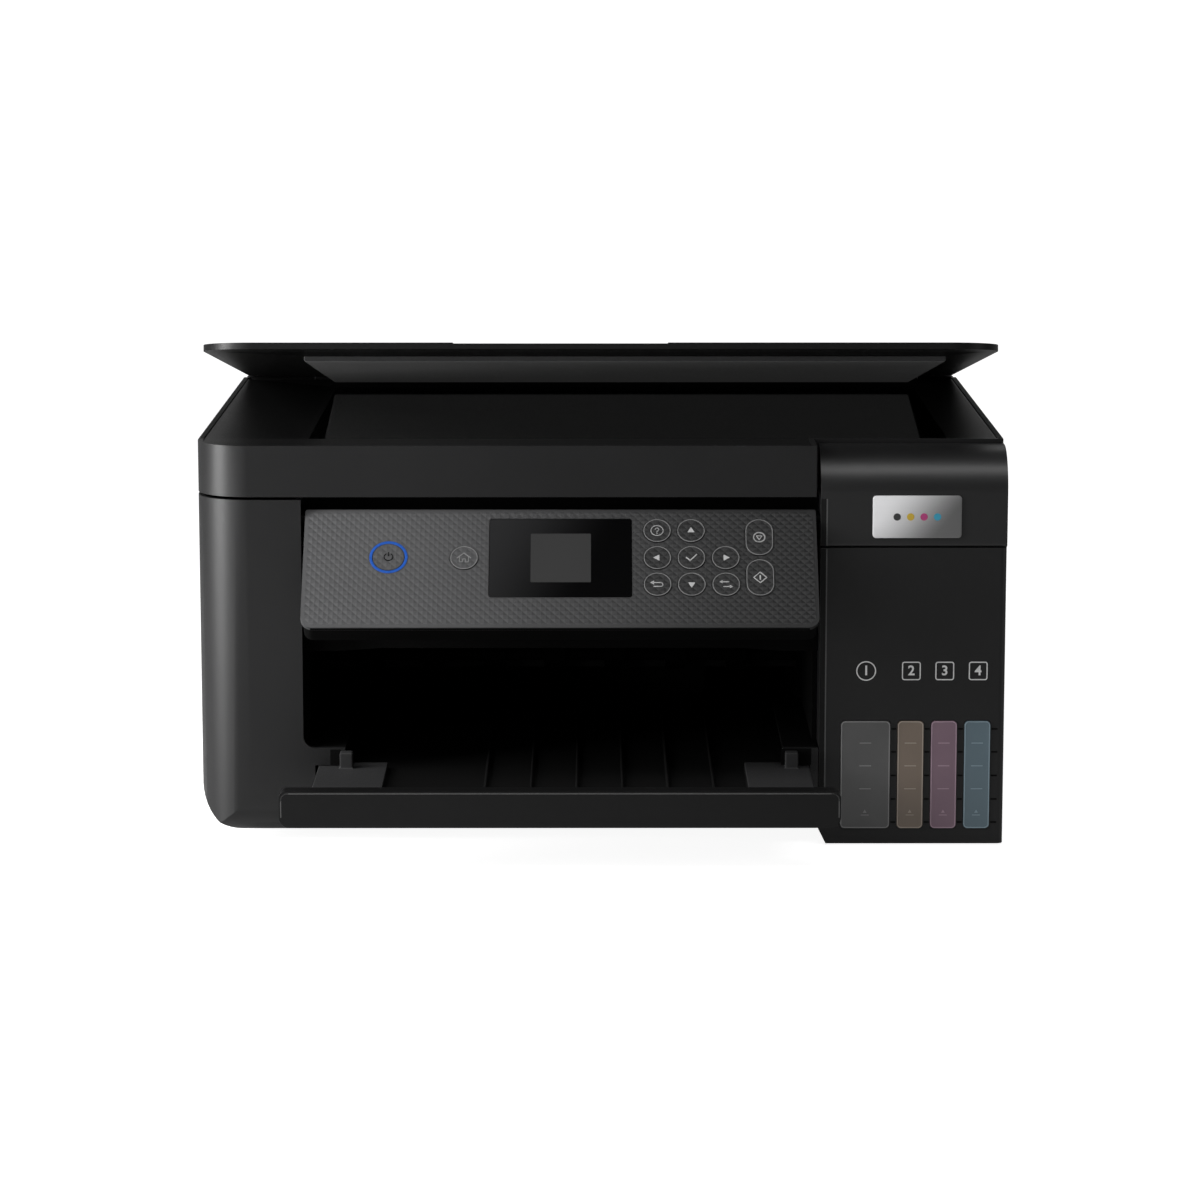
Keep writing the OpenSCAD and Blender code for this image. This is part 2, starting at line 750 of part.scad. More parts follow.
module carriage()
    color("#1b1b1d") machine() difference() {
        x0 = carriage_x;
        x1 = carriage_x + carriage_w;
        z0 = head_z + 12;
        union() {
            block(x0, x1, carriage_y, rail_y - 8, z0, z0 + carriage_h);
            block(x0, x1, rail_y - 8 - e, rail_y + 2, rail_z - 8, rail_z + 8);
            block(x0 + 30, x0 + 60, rail_y - 8 - e, rail_y + 1.5, belt_z - 12, belt_z - pulley_r - 2);
        }
        rod_x(x0 - 1, x1 + 1, rail_y, rail_z, rail_dia / 2 + fit);
        // room for the ink dampers
        block(x0 + wall, x1 - wall, carriage_y + wall, rail_y - 8 - wall, z0 + 20, z0 + carriage_h + 1);
    }

module printhead()
    color("#55575a") machine() {
        block(carriage_x + 12, carriage_x + 78, carriage_y + 6, rail_y - 14, head_z, head_z + 12);
        for (i = [0:3])
            block(carriage_x + 6 + i * 20, carriage_x + 22 + i * 20, carriage_y + 6, rail_y - 14,
                head_z + 32, head_z + 60);
    }

module feed_roller()
    color("#77797c") machine() {
        rod_x(frame_left + 2, frame_right - 2, feed_y, feed_z, feed_r);
        rod_x(gear_x - 1, frame_right + sheet_t + 1, feed_y, feed_z, 4);
        gear_x(gear_x, gear_t, feed_y, feed_z, feed_gear_r, 40, 1.4);
    }

module motor_pinion()
    color("#c2a14a") machine() difference() {
        gear_x(gear_x, gear_t, pinion_y, pinion_z, pinion_r, 12, 1.4);
        rod_x(gear_x - 1, gear_x + gear_t + 1, pinion_y, pinion_z, pin_r + inner_fit);
    }

module output_roller()
    color("#2a2a2c") machine() {
        rod_x(gear_x - 1, frame_right + sheet_t + 1, output_y, output_z, 3);
        gear_x(gear_x, gear_t, output_y, output_z, feed_gear_r, 40, 1.4);
        for (i = [0:6])
            rod_x(path_mid - 103 + i * 30, path_mid - 93 + i * 30, output_y, output_z, output_r);
    }

module pickup_roller()
    color("#2f2f31") machine() {
        rod_x(gear_x - 1, frame_right + sheet_t + 1, pickup_y, pickup_z, 4);
        gear_x(gear_x, gear_t, pickup_y, pickup_z, 12, 24, 1.4);
        for (s = [-1, 1]) rod_x(path_mid + s * 30 - 10, path_mid + s * 30 + 10, pickup_y, pickup_z, pickup_r);
    }

module main_board()
    color("#1f4a34") machine() {
        y = body_d - 11;
        board_z = 20;
        block(board_x, board_x + 90, y, y + 1.6, board_z, board_z + 90);
        difference() {
            block(port_x, port_x + port_w, y + 1.6 - e, body_d - fit, port_z, port_z + port_h);
            block(port_x + 1.8, port_x + port_w - 1.8, y + 2.5, body_d, port_z + 1.6, port_z + port_h - 1.6);
        }
        for (x = [board_x + 10, board_x + 83], z = [board_z + 6, board_z + 84])
            rod_y(y + 1.6 - e, body_d - wall, x, z, 3);
        block(board_x + 40, board_x + 60, y - 2.5, y + e, board_z + 40, board_z + 60);
        block(board_x + 67, board_x + 81, y - 2, y + e, board_z + 64, board_z + 76);
        for (i = [0:2])
            block(board_x + 9 + i * 16, board_x + 19 + i * 16, y - 6, y + e, board_z + 4, board_z + 10);
    }

module power_supply()
    color("#242426") machine() {
        back = body_d - 17;
        brick_l = 75;
        brick_top = 50;
        rim = 4;
        difference() {
            union() {
                block(path_mid - 35, path_mid + 70, back - brick_l, back, pan_top, brick_top);
                block(inlet_x, inlet_x + inlet_w, back - e, body_d - fit, inlet_z, inlet_z + inlet_h);
            }
            along_y(back + 3, body_d + 1)
                panel2d(inlet_x + rim, inlet_x + inlet_w - rim, inlet_z + rim, inlet_z + inlet_h - rim,
                    [2, 2, 4, 4]);
        }
        for (x = [inlet_x + 9.7, inlet_x + inlet_w - 9.7])
            rod_y(back + 3 - e, back + 12, x, inlet_z + inlet_h / 2, 1.2);
    }

// ---- scanner unit ----

module scanner_plan(inset)
    difference() {
        panel2d(xl + inset, xr - inset, inset, scanner_d - inset,
            [corner_r - inset, 0, back_r - inset, back_r - inset]);
        translate([fascia_x - inset, -1]) square([xr, cover_y + inset + 1]);
    }

// Left ends of the lid's hinge arms, and the size in plan of a pad under the scanner
HINGES = [xl + 37.5, xr - 35.5];
PAD = [1.5, 14];
hinge_w = 15;

module scanner_case()
    color("#2b2b2d") machine() {
        floor_z = scan_z + wall;
        block_y = scanner_d - 10;
        difference() {
            union() {
                difference() {
                    upright(scan_z, rim_z) scanner_plan(0);
                    upright(floor_z, rim_z + 1) scanner_plan(wall);
                }
                // pads that rest on the lower case
                for (x = [xl + 0.5, xr - 0.5 - PAD[0]], y = [150, 240])
                    block(x, x + PAD[0], y, y + PAD[1], case_top + fit, scan_z + e);
                // hinge blocks
                for (x = HINGES)
                    block(x - 4, x + hinge_w + 4, block_y, scanner_d - 1, floor_z - e, rim_z - 2);
                // runway of the scan bar, and posts under the frame
                block(xl + 12, xr - 12, 155, 161, floor_z - e, platen_z - 16.2);
                for (x = [xl + 8, xl / 3, xr / 3, xr - 12], y = [38, scanner_d - 12])
                    rod_z(floor_z - e, platen_z - 8, x, y, 3);
            }
            // lowered back rim
            block(xl - 1, xr + 1, scanner_d - 4, scanner_d + 1, rim_z - 1, rim_z + 1);
            for (x = HINGES) {
                block(x - 0.5, x + hinge_w + 0.5, scanner_d - 8, scanner_d + 1, rim_z - 10, rim_z + 1);
                rod_x(x - 2.8, x + hinge_w + 2.8, lid_axis_y, lid_axis_z, 1.2 + fit);
            }
        }
    }

module scanner_frame()
    color("#232325") machine() difference() {
        low = platen_z - 8;
        top = rim_z - 0.4;
        left = platen_x - 5.5;
        right = platen_x + platen_w + 2;
        front = cover_y + 11;
        back = platen_y + platen_d + 4.5;
        upright(low, top) difference() {
            scanner_plan(wall + inner_fit);
            translate([xl, scanner_d - 10.3]) square([body_w, 20]);
        }
        // sloping sides of the dish
        intersection() {
            along_y(0, body_d)
                polygon([[xl + wall + 1, top + e], [xr - wall - 1, top + e], [right, platen_z], [left, platen_z]]);
            along_x(xl, xr)
                polygon([[cover_y + wall + 1, top + e], [scanner_d - 10, top + e], [back, platen_z],
                    [front, platen_z]]);
        }
        // seat of the glass and its opening
        block(platen_x - 3.8, platen_x + platen_w + 1.8, platen_y - 4.3, platen_y + platen_d + 4.3,
            platen_z - platen_t, top);
        block(platen_x, platen_x + platen_w, platen_y, platen_y + platen_d, low - 1, top);
    }

module scanner_glass()
    color("#14181a") machine()
        block(platen_x - 3.5, platen_x + platen_w + 1.5, platen_y - 4, platen_y + platen_d + 4,
            platen_z - platen_t, platen_z);

module scan_bar()
    color("#3a3a3d") machine() {
        z = platen_z - 16.2 + fit;
        x = xl + 22;
        block(x, x + scan_bar_w, platen_y + 2, platen_y + platen_d - 2, z, z + scan_bar_h);
        block(x + 4, x + scan_bar_w - 4, platen_y + 6, platen_y + platen_d - 6, z + scan_bar_h - e,
            z + scan_bar_h + 0.8);
    }

// ---- lid, drawn closed ----

module lid_plan(inset)
    panel2d(-lid_w / 2 + inset, lid_w / 2 - inset, lid_y + inset, scanner_d + 0.5 - inset,
        [corner_r - 1, corner_r - 1, back_r - 1, back_r - 1]);

module lid_cover()
    color("#343436") machine() open_lid() {
        mat_x = platen_x - 4.5;
        mat_r = platen_x + platen_w - 1;
        low = mat_z + mat_t;
        half = lid_w / 2 - 6;
        difference() {
            upright(lid_z, lid_z + lid_t) lid_plan(0);
            // finger recess in the front edge
            block(panel_mid - grip_w / 2, panel_mid + grip_w / 2, lid_y - 1, lid_y + 8,
                lid_z + lid_t - 0.9, lid_z + lid_t + 1);
        }
        // shallow underside, deepest round the mat
        intersection() {
            along_y(0, body_d)
                polygon([[-half, lid_z + e], [mat_x, low], [mat_r, low], [half, lid_z + e]]);
            along_x(xl, xr)
                polygon([[cover_y + 7, lid_z + e], [cover_y + 12, low], [scanner_d - 20, low],
                    [scanner_d - 14, lid_z + e]]);
        }
        // hinge arms and pins
        for (x = HINGES) {
            block(x, x + hinge_w, lid_axis_y - 2.5, lid_axis_y + 2.5, lid_axis_z, lid_z + e);
            rod_x(x, x + hinge_w, lid_axis_y, lid_axis_z, 2.5);
            rod_x(x - 2, x + hinge_w + 2, lid_axis_y, lid_axis_z, 1.2);
        }
    }

module document_mat()
    color("#39393b") machine() open_lid()
        block(platen_x - 4.5, platen_x + platen_w - 1, cover_y + 12.5, scanner_d - 21, mat_z, mat_z + mat_t);

// ---- output tray ----

module output_tray()
    color("#2b2b2d") machine() {
        x1 = tray_x + tray_w;
        rib_pitch = 20.9;
        post = 6;
        difference() {
            block(tray_x, x1, tray_y, tray_y + tray_l, tray_z - tray_t, tray_z);
            block(tray_x + shoulder_w, x1 - shoulder_w + 2, tray_y - 1, tray_y + tray_l + 1,
                recess_z, tray_z + 1);
            block(tray_x - 1, x1 + 1, tray_y + shoulder_l, tray_y + tray_l + 1, recess_z, tray_z + 1);
        }
        for (i = [0:5])
            block(tray_x + 78 + i * rib_pitch, tray_x + 79.4 + i * rib_pitch, tray_y, tray_y + tray_l - 60,
                recess_z - e, recess_z + 1.5);
        // sliding skirts on the pan's rails
        for (x = [tray_x, x1 - 5])
            block(x, x + 5, sill_r + 6, tray_y + tray_l, tray_z - tray_t - 3.5, tray_z - tray_t + e);
        // small posts in front of the ledges
        for (x = [tray_x + 10.3, x1 - 11.5])
            block(x, x + post, -post - 0.6, -0.6, tray_z - e, bay_z - 1);
    }

module tray_extension()
    color("#2b2b2d") machine() {
        z1 = tray_z - tray_t - fit;
        along_y(-lip_out, lip_d - lip_out)
            panel2d(lip_x, lip_x + lip_w, tray_z - lip_h, tray_z, [5, 5, 3, 3]);
        block(tray_x + shoulder_w + 4, tray_x + tray_w - shoulder_w - 4, lip_d - lip_out - e,
            tray_end - 50, z1 - 2.8, z1);
    }

// ---- rear feeder ----

module feeder_housing()
    color("#29292b") machine() {
        shelf_z = 146;
        low = case_top + fit;
        well_x1 = slot_x + slot_w;
        sx = support_x;
        difference() {
            union() {
                difference() {
                    upright(low, feeder_z) feeder_plan(0);
                    upright(low - 1, feeder_z - wall) feeder_plan(wall);
                }
                block(xl + 1, xr - 1, scanner_d + 2, feeder_y + 1, low, low + 2);
                // walls of the paper well
                block(slot_x - wall, well_x1 + wall, slot_y - wall, slot_y + slot_d + wall,
                    shelf_z, feeder_z - e);
                // sleeve of the paper support
                block(sx - wall, sx + support_w + wall, support_y - wall - fit,
                    support_y + support_t + wall + fit, shelf_z, feeder_z - e);
            }
            block(slot_x, well_x1, slot_y, slot_y + slot_d, shelf_z + wall, feeder_z + 1);
            block(slot_x, well_x1, slot_y, slot_y + 6, shelf_z - 1, feeder_z + 1);
            block(sx - fit, sx + support_w + fit, support_y - fit, support_y + support_t + fit,
                shelf_z - 1, feeder_z + 1);
        }
    }

module feeder_plan(inset)
    panel2d(xl + inset, xr - inset, feeder_y + inset, body_d - inset,
        [0, 0, back_r - inset, back_r - inset]);

module feeder_cover()
    color("#29292b") machine() {
        t = 2.4;
        z = feeder_z + fit;
        y1 = slot_y + slot_d + 4;
        block(slot_x - 3, slot_x + slot_w + 3, slot_y - 2.5, y1, z, z + t);
        rod_x(slot_x - 3, slot_x + slot_w + 3, y1, z + t / 2, t / 2);
    }

module paper_support()
    color("#2c2c2e") machine() {
        x = support_x;
        difference() {
            block(x, x + support_w, support_y, support_y + support_t, feeder_z + 0.6 - support_l, feeder_z + 0.6);
            block(x + 20, x + support_w - 20, support_y - 1, support_y + 1.5, feeder_z - 14, feeder_z - 4);
        }
    }

module edge_guide(x)
    color("#2e2e30") machine() {
        z = 146 + wall + fit;
        block(x, x + 3, slot_y + 8, slot_y + slot_d - 2, z, feeder_z - 4);
        block(x - 4, x + 7, slot_y + 8, slot_y + slot_d - 2, z, z + 3);
    }

module edge_guide_left() edge_guide(slot_x + 6);
module edge_guide_right() edge_guide(slot_x + slot_w - 9);

base_pan();
lower_case();
feet();
output_bay();
tank_housing();
feeder_housing();
main_frame();
guide_rail();
platen();
drive_motors();
timing_belt();
capping_station();
main_board();
power_supply();
ink_tubes();
tank_black();
tank_yellow();
tank_magenta();
tank_cyan();
carriage();
printhead();
drive_pulley();
idler_pulley();
feed_roller();
motor_pinion();
output_roller();
pickup_roller();
panel_housing();
panel_face();
display_window();
lcd_screen();
button_power();
button_home();
button_help();
button_up();
button_left();
button_ok();
button_right();
button_back();
button_down();
button_menu();
button_stop();
button_start();
scanner_case();
scanner_frame();
scanner_glass();
scan_bar();
lid_cover();
document_mat();
tank_cover();
cap_black();
cap_yellow();
cap_magenta();
cap_cyan();
output_tray();
tray_extension();
feeder_cover();
paper_support();
edge_guide_left();
edge_guide_right();
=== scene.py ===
import bpy
import json
from math import atan2, cos, hypot, pi, radians, sin
from mathutils import Matrix, Vector


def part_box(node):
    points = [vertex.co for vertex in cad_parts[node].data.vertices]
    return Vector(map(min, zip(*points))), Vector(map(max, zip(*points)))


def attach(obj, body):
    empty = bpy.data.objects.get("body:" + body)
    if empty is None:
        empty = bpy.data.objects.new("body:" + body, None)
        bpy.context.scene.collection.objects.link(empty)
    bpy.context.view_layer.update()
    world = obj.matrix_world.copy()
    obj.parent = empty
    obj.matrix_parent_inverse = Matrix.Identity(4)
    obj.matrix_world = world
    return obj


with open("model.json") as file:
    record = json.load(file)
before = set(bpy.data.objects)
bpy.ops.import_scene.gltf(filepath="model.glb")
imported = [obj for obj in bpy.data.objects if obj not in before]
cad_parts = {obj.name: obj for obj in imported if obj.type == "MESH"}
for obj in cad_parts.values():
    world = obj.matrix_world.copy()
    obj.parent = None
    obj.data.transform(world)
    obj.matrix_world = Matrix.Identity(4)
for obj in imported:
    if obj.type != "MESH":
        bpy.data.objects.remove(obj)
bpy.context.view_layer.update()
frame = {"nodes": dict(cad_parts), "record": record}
nodes = frame["nodes"]
joints = {joint["name"]: joint for joint in frame["record"]["behaviour"]["joints"]}
mm = 0.001
bpy.ops.object.select_all(action="DESELECT")
print("frame loaded:", len(nodes), "nodes")


# camera, lamps and studio
cameraLook = {
    "place": (-0.0032, -2.0138, 0.4317),
    "down": 9.58,    # degrees below the horizon
    "turn": -0.084,  # degrees to the left
    "lens": 123.0,   # mm
    "sensor": 36.0,  # mm
}
bpy.ops.object.camera_add(
    location=cameraLook["place"],
    rotation=(radians(90 - cameraLook["down"]), 0, radians(cameraLook["turn"])))
camera = bpy.context.object
camera.name = "studioCamera"
camera.data.lens = cameraLook["lens"]
camera.data.sensor_width = cameraLook["sensor"]
bpy.context.scene.camera = camera

lampLook = {
    "keyLeft": {"place": (-0.95, -0.42, 0.34), "aim": (-0.05, 0, 0.12), "size": (0.35, 1.0), "watts": 25},
    "keyFront": {"place": (-0.78, -1.15, 0.36), "aim": (-0.12, -0.1, 0.1), "size": (0.2, 0.8), "watts": 1.9},
    "overLeft": {"place": (-0.42, -0.34, 0.62), "aim": (-0.15, -0.15, 0.12), "size": (0.25, 0.2),
                 "watts": 0.22, "beam": 55},
    "frontTop": {"place": (0.2, -0.78, 1.15), "aim": (0.05, 0, 0.17), "size": (1.2, 0.3), "watts": 6.8},
    "rightTall": {"place": (1.15, -0.45, 0.3), "aim": (0.1, 0, 0.16), "size": (0.3, 0.6), "watts": 0.8},
    "backTop": {"place": (0.1, 0.9, 1.2), "aim": (0, 0, 0.15), "size": (1.2, 0.5), "watts": 2},
}
for lampName, look in lampLook.items():
    aim = Vector(look["aim"]) - Vector(look["place"])
    bpy.ops.object.light_add(
        type="AREA", location=look["place"], rotation=aim.to_track_quat("-Z", "Y").to_euler())
    lamp = bpy.context.object
    lamp.name = lampName
    lamp.data.shape = "RECTANGLE"
    lamp.data.size, lamp.data.size_y = look["size"]
    lamp.data.energy = look["watts"]
    lamp.data.spread = radians(look.get("beam", 180))

roomLook = {"Color": (1, 1, 1, 1), "Strength": 0.05}
world = bpy.data.worlds.new("studioRoom")
bpy.context.scene.world = world
world.use_nodes = True
for key, value in roomLook.items():
    world.node_tree.nodes["Background"].inputs[key].default_value = value
bpy.context.scene.view_settings.view_transform = "Standard"


# node helpers
def addNode(tree, kind, place=(0, 0), **settings):
    node = tree.nodes.new("ShaderNode" + kind)
    node.location = place
    for key, value in settings.items():
        setattr(node, key, value)
    return node


def setInputs(node, values):
    for key, value in values.items():
        node.inputs[key].default_value = value


def newGroup(name, inputs, outputs):
    group = bpy.data.node_groups.new(name, "ShaderNodeTree")
    for socketName, kind, value in inputs:
        socket = group.interface.new_socket(name=socketName, in_out="INPUT", socket_type=kind)
        if value is not None:
            socket.default_value = value
    for socketName, kind in outputs:
        group.interface.new_socket(name=socketName, in_out="OUTPUT", socket_type=kind)
    start, end = group.nodes.new("NodeGroupInput"), group.nodes.new("NodeGroupOutput")
    start.location, end.location = (-900, 0), (600, 0)
    return group, start, end


# fine moulded skin: small bumps for the height and shine, slow clouds for the tone
def makeMouldedSkin():
    group, start, end = newGroup(
        "mouldedSkin",
        [("Vector", "NodeSocketVector", None), ("Grain", "NodeSocketFloat", 2200.0),
         ("Clouds", "NodeSocketFloat", 14.0)],
        [("Height", "NodeSocketFloat"), ("Tone", "NodeSocketFloat"), ("Shine", "NodeSocketFloat")])
    pebbles = addNode(group, "TexVoronoi", (-600, 200), feature="SMOOTH_F1")
    setInputs(pebbles, {"Smoothness": 0.6})
    fineNoise = addNode(group, "TexNoise", (-600, -100))
    setInputs(fineNoise, {"Detail": 3.0})
    slowNoise = addNode(group, "TexNoise", (-600, -400))
    setInputs(slowNoise, {"Detail": 4.0, "Roughness": 0.55})
    blend = addNode(group, "Mix", (-300, 100), data_type="FLOAT")
    setInputs(blend, {"Factor": 0.45})
    tone = addNode(group, "MapRange", (-300, -200))
    setInputs(tone, {"From Min": 0.3, "From Max": 0.7})
    shine = addNode(group, "MapRange", (-300, -500))
    setInputs(shine, {"From Min": 0.35, "From Max": 0.65})
    link = group.links.new
    for texture in (pebbles, fineNoise):
        link(start.outputs["Vector"], texture.inputs["Vector"])
        link(start.outputs["Grain"], texture.inputs["Scale"])
    link(start.outputs["Vector"], slowNoise.inputs["Vector"])
    link(start.outputs["Clouds"], slowNoise.inputs["Scale"])
    link(pebbles.outputs["Distance"], blend.inputs["A"])
    link(fineNoise.outputs["Fac"], blend.inputs["B"])
    link(slowNoise.outputs["Fac"], tone.inputs["Value"])
    link(fineNoise.outputs["Fac"], shine.inputs["Value"])
    link(blend.outputs["Result"], end.inputs["Height"])
    link(tone.outputs["Result"], end.inputs["Tone"])
    link(shine.outputs["Result"], end.inputs["Shine"])
    return group


# straight fine lines along one axis of the piece, as brushing or a woven tooling mark
def makeFineLines():
    group, start, end = newGroup(
        "fineLines",
        [("Vector", "NodeSocketVector", None), ("Across", "NodeSocketFloat", 900.0),
         ("Along", "NodeSocketFloat", 20.0)],
        [("Height", "NodeSocketFloat")])
    split = addNode(group, "SeparateXYZ", (-700, 0))
    alongX = addNode(group, "Math", (-500, 150), operation="MULTIPLY")
    acrossZ = addNode(group, "Math", (-500, -50), operation="MULTIPLY")
    join = addNode(group, "CombineXYZ", (-300, 0))
    streaks = addNode(group, "TexNoise", (-100, 0))
    setInputs(streaks, {"Scale": 1.0, "Detail": 2.0})
    link = group.links.new
    link(start.outputs["Vector"], split.inputs["Vector"])
    link(split.outputs["X"], alongX.inputs[0])
    link(start.outputs["Along"], alongX.inputs[1])
    link(split.outputs["Z"], acrossZ.inputs[0])
    link(start.outputs["Across"], acrossZ.inputs[1])
    link(alongX.outputs["Value"], join.inputs["X"])
    link(acrossZ.outputs["Value"], join.inputs["Z"])
    link(join.outputs["Vector"], streaks.inputs["Vector"])
    link(streaks.outputs["Fac"], end.inputs["Height"])
    return group


mouldedSkin = makeMouldedSkin()
fineLines = makeFineLines()


def startMaterial(name):
    material = bpy.data.materials.new(name)
    material.use_nodes = True
    tree = material.node_tree
    shader = tree.nodes["Principled BSDF"]
    coords = addNode(tree, "TexCoord", (-900, 0))
    return material, tree, shader, coords.outputs["Object"]


def addSkin(tree, place, grain, clouds):
    skin = addNode(tree, "Group", (-650, 0))
    skin.node_tree = mouldedSkin
    setInputs(skin, {"Grain": grain, "Clouds": clouds})
    tree.links.new(place, skin.inputs["Vector"])
    return skin


# a tone is three values, or one for a plain grey
def toColor(tone):
    return (*tone, 1) if isinstance(tone, tuple) else (tone, tone, tone, 1)


def addTone(tree, shader, mask, dark, light):
    mix = addNode(tree, "Mix", (-350, 200), data_type="RGBA")
    setInputs(mix, {"A": toColor(dark), "B": toColor(light)})
    tree.links.new(mask, mix.inputs["Factor"])
    tree.links.new(mix.outputs["Result"], shader.inputs["Base Color"])


def addShine(tree, shader, mask, low, high):
    reach = addNode(tree, "MapRange", (-350, 0))
    setInputs(reach, {"To Min": low, "To Max": high})
    tree.links.new(mask, reach.inputs["Value"])
    tree.links.new(reach.outputs["Result"], shader.inputs["Roughness"])


def addBump(tree, shader, height, strength, depth):
    bump = addNode(tree, "Bump", (-350, -300))
    setInputs(bump, {"Strength": strength, "Distance": depth})
    tree.links.new(height, bump.inputs["Height"])
    tree.links.new(bump.outputs["Normal"], shader.inputs["Normal"])


# moulded plastic or rubber: tone, grain and sheen from one row of values; glow is an emission that paints light
# into it
def mouldedPlastic(name, dark, light, rough, grain=2200, clouds=14, depth=0.03, strength=0.35, spec=0.5,
                   glow=0.0):
    material, tree, shader, place = startMaterial(name)
    skin = addSkin(tree, place, grain, clouds)
    addTone(tree, shader, skin.outputs["Tone"], dark, light)
    addShine(tree, shader, skin.outputs["Shine"], rough[0], rough[1])
    addBump(tree, shader, skin.outputs["Height"], strength, depth * mm)
    setInputs(shader, {"Specular IOR Level": spec, "Emission Color": (1, 1, 1, 1),
                       "Emission Strength": glow})
    return material


# bare or plated metal with streaks along its length
def streakedMetal(name, dark, light, rough, across, along):
    material, tree, shader, place = startMaterial(name)
    lines = addNode(tree, "Group", (-650, 0))
    lines.node_tree = fineLines
    setInputs(lines, {"Across": across, "Along": along})
    tree.links.new(place, lines.inputs["Vector"])
    addTone(tree, shader, lines.outputs["Height"], dark, light)
    addShine(tree, shader, lines.outputs["Height"], rough[0], rough[1])
    addBump(tree, shader, lines.outputs["Height"], 0.25, 0.02 * mm)
    setInputs(shader, {"Metallic": 1.0})
    return material


# tinted, frosted plastic of the ink windows
def tintedWindow(name, dark, light):
    material, tree, shader, place = startMaterial(name)
    skin = addSkin(tree, place, 1500, 30)
    addTone(tree, shader, skin.outputs["Tone"], dark, light)
    addShine(tree, shader, skin.outputs["Shine"], 0.32, 0.45)
    addBump(tree, shader, skin.outputs["Height"], 0.2, 0.02 * mm)
    setInputs(shader, {"Coat Weight": 0.35, "Coat Roughness": 0.2})
    return material


# plastics and rubbers: darker and lighter tone, roughness from and to, and what differs from the usual
plasticLook = {
    "caseBlack": ((0.0048, 0.0048, 0.0050), (0.0066, 0.0066, 0.0068), (0.38, 0.48), {"spec": 0.34}),
    "caseDark": ((0.008, 0.008, 0.0085), (0.011, 0.011, 0.0115), (0.45, 0.55), {"spec": 0.4}),
    "trayBlack": ((0.017, 0.017, 0.0174), (0.021, 0.021, 0.0214), (0.46, 0.56), {"spec": 0.1}),
    # panelSatin also takes painted light further down: paler towards the panel's left end
    "panelSatin": ((0.040, 0.040, 0.041), (0.048, 0.048, 0.049), (0.42, 0.50), {"spec": 0.22}),
    "keySatin": ((0.037, 0.037, 0.038), (0.043, 0.043, 0.044), (0.42, 0.50), {"spec": 0.22}),
    "keyDim": ((0.0115, 0.0115, 0.0118), (0.0140, 0.0140, 0.0143), (0.42, 0.50), {"spec": 0.22}),
    "screenGrey": (0.0165, 0.0185, (0.40, 0.46),
                   {"grain": 3500, "depth": 0.005, "strength": 0.1, "spec": 0.2}),
    "capGrey": (0.022, 0.03, (0.35, 0.45), {}),
    "capAmber": ((0.40, 0.27, 0.03), (0.46, 0.33, 0.04), (0.35, 0.45), {}),
    "capMauve": ((0.30, 0.035, 0.13), (0.36, 0.045, 0.16), (0.35, 0.45), {}),
    "capTeal": ((0.03, 0.22, 0.32), (0.035, 0.26, 0.36), (0.35, 0.45), {}),
    # the mat's glow is painted light: it brightens the mat's underside, which the lamps hardly reach
    "matGrey": (0.075, 0.09, (0.5, 0.6), {"grain": 900, "depth": 0.04, "glow": 0.0125}),
    "foamGrey": ((0.026, 0.026, 0.027), (0.034, 0.034, 0.035), (0.62, 0.75),
                 {"grain": 900, "depth": 0.08, "strength": 0.4}),
    "innerBlack": (0.003, 0.005, (0.6, 0.72), {"spec": 0.2}),
    "rollerRubber": (0.022, 0.03, (0.7, 0.82), {"grain": 1200, "depth": 0.06}),
    "beltRubber": (0.012, 0.018, (0.65, 0.78), {"grain": 1600, "depth": 0.05}),
    "boardGreen": ((0.012, 0.06, 0.026), (0.018, 0.085, 0.036), (0.25, 0.36),
                   {"grain": 700, "clouds": 60, "depth": 0.02}),
    "footRubber": (0.012, 0.018, (0.75, 0.85), {"grain": 1200, "depth": 0.06}),
    "tubeDark": ((0.03, 0.03, 0.032), (0.04, 0.04, 0.043), (0.3, 0.42), {}),
    "markGrey": (0.11, 0.13, (0.45, 0.55), {}),
    "signGrey": (0.28, 0.32, (0.45, 0.55), {}),
    "deepBlack": (0.0010, 0.0018, (0.7, 0.8), {"spec": 0.05}),
    "labelGrey": (0.52, 0.60, (0.45, 0.55), {}),
    "markDim": (0.105, 0.12, (0.45, 0.55), {}),
    "markBlack": (0.001, 0.002, (0.6, 0.7), {"spec": 0.05}),
    "dishBlack": ((0.0030, 0.0030, 0.0031), (0.0042, 0.0042, 0.0043), (0.36, 0.46), {"spec": 0.22}),
    "coverBlack": ((0.0048, 0.0048, 0.0050), (0.0066, 0.0066, 0.0068), (0.38, 0.46), {"spec": 0.48}),
    # painted shade and painted highlight for the front's edges
    "edgeShade": (0.002, 0.003, (0.5, 0.6), {"spec": 0.18}),
    "paintedHighlight": (0.052, 0.062, (0.36, 0.44), {}),
}
# metals: darker and lighter tone, roughness from and to, fineness of the streaks across and along
metalLook = {
    "sheetSteel": ((0.42, 0.43, 0.44), (0.50, 0.51, 0.52), (0.30, 0.45), 300, 300),
    "rodSteel": ((0.55, 0.56, 0.57), (0.64, 0.65, 0.66), (0.16, 0.26), 20, 1500),
    "brass": ((0.52, 0.36, 0.12), (0.62, 0.44, 0.17), (0.25, 0.36), 700, 700),
    "alloy": ((0.56, 0.56, 0.57), (0.66, 0.66, 0.67), (0.25, 0.38), 900, 900),
}
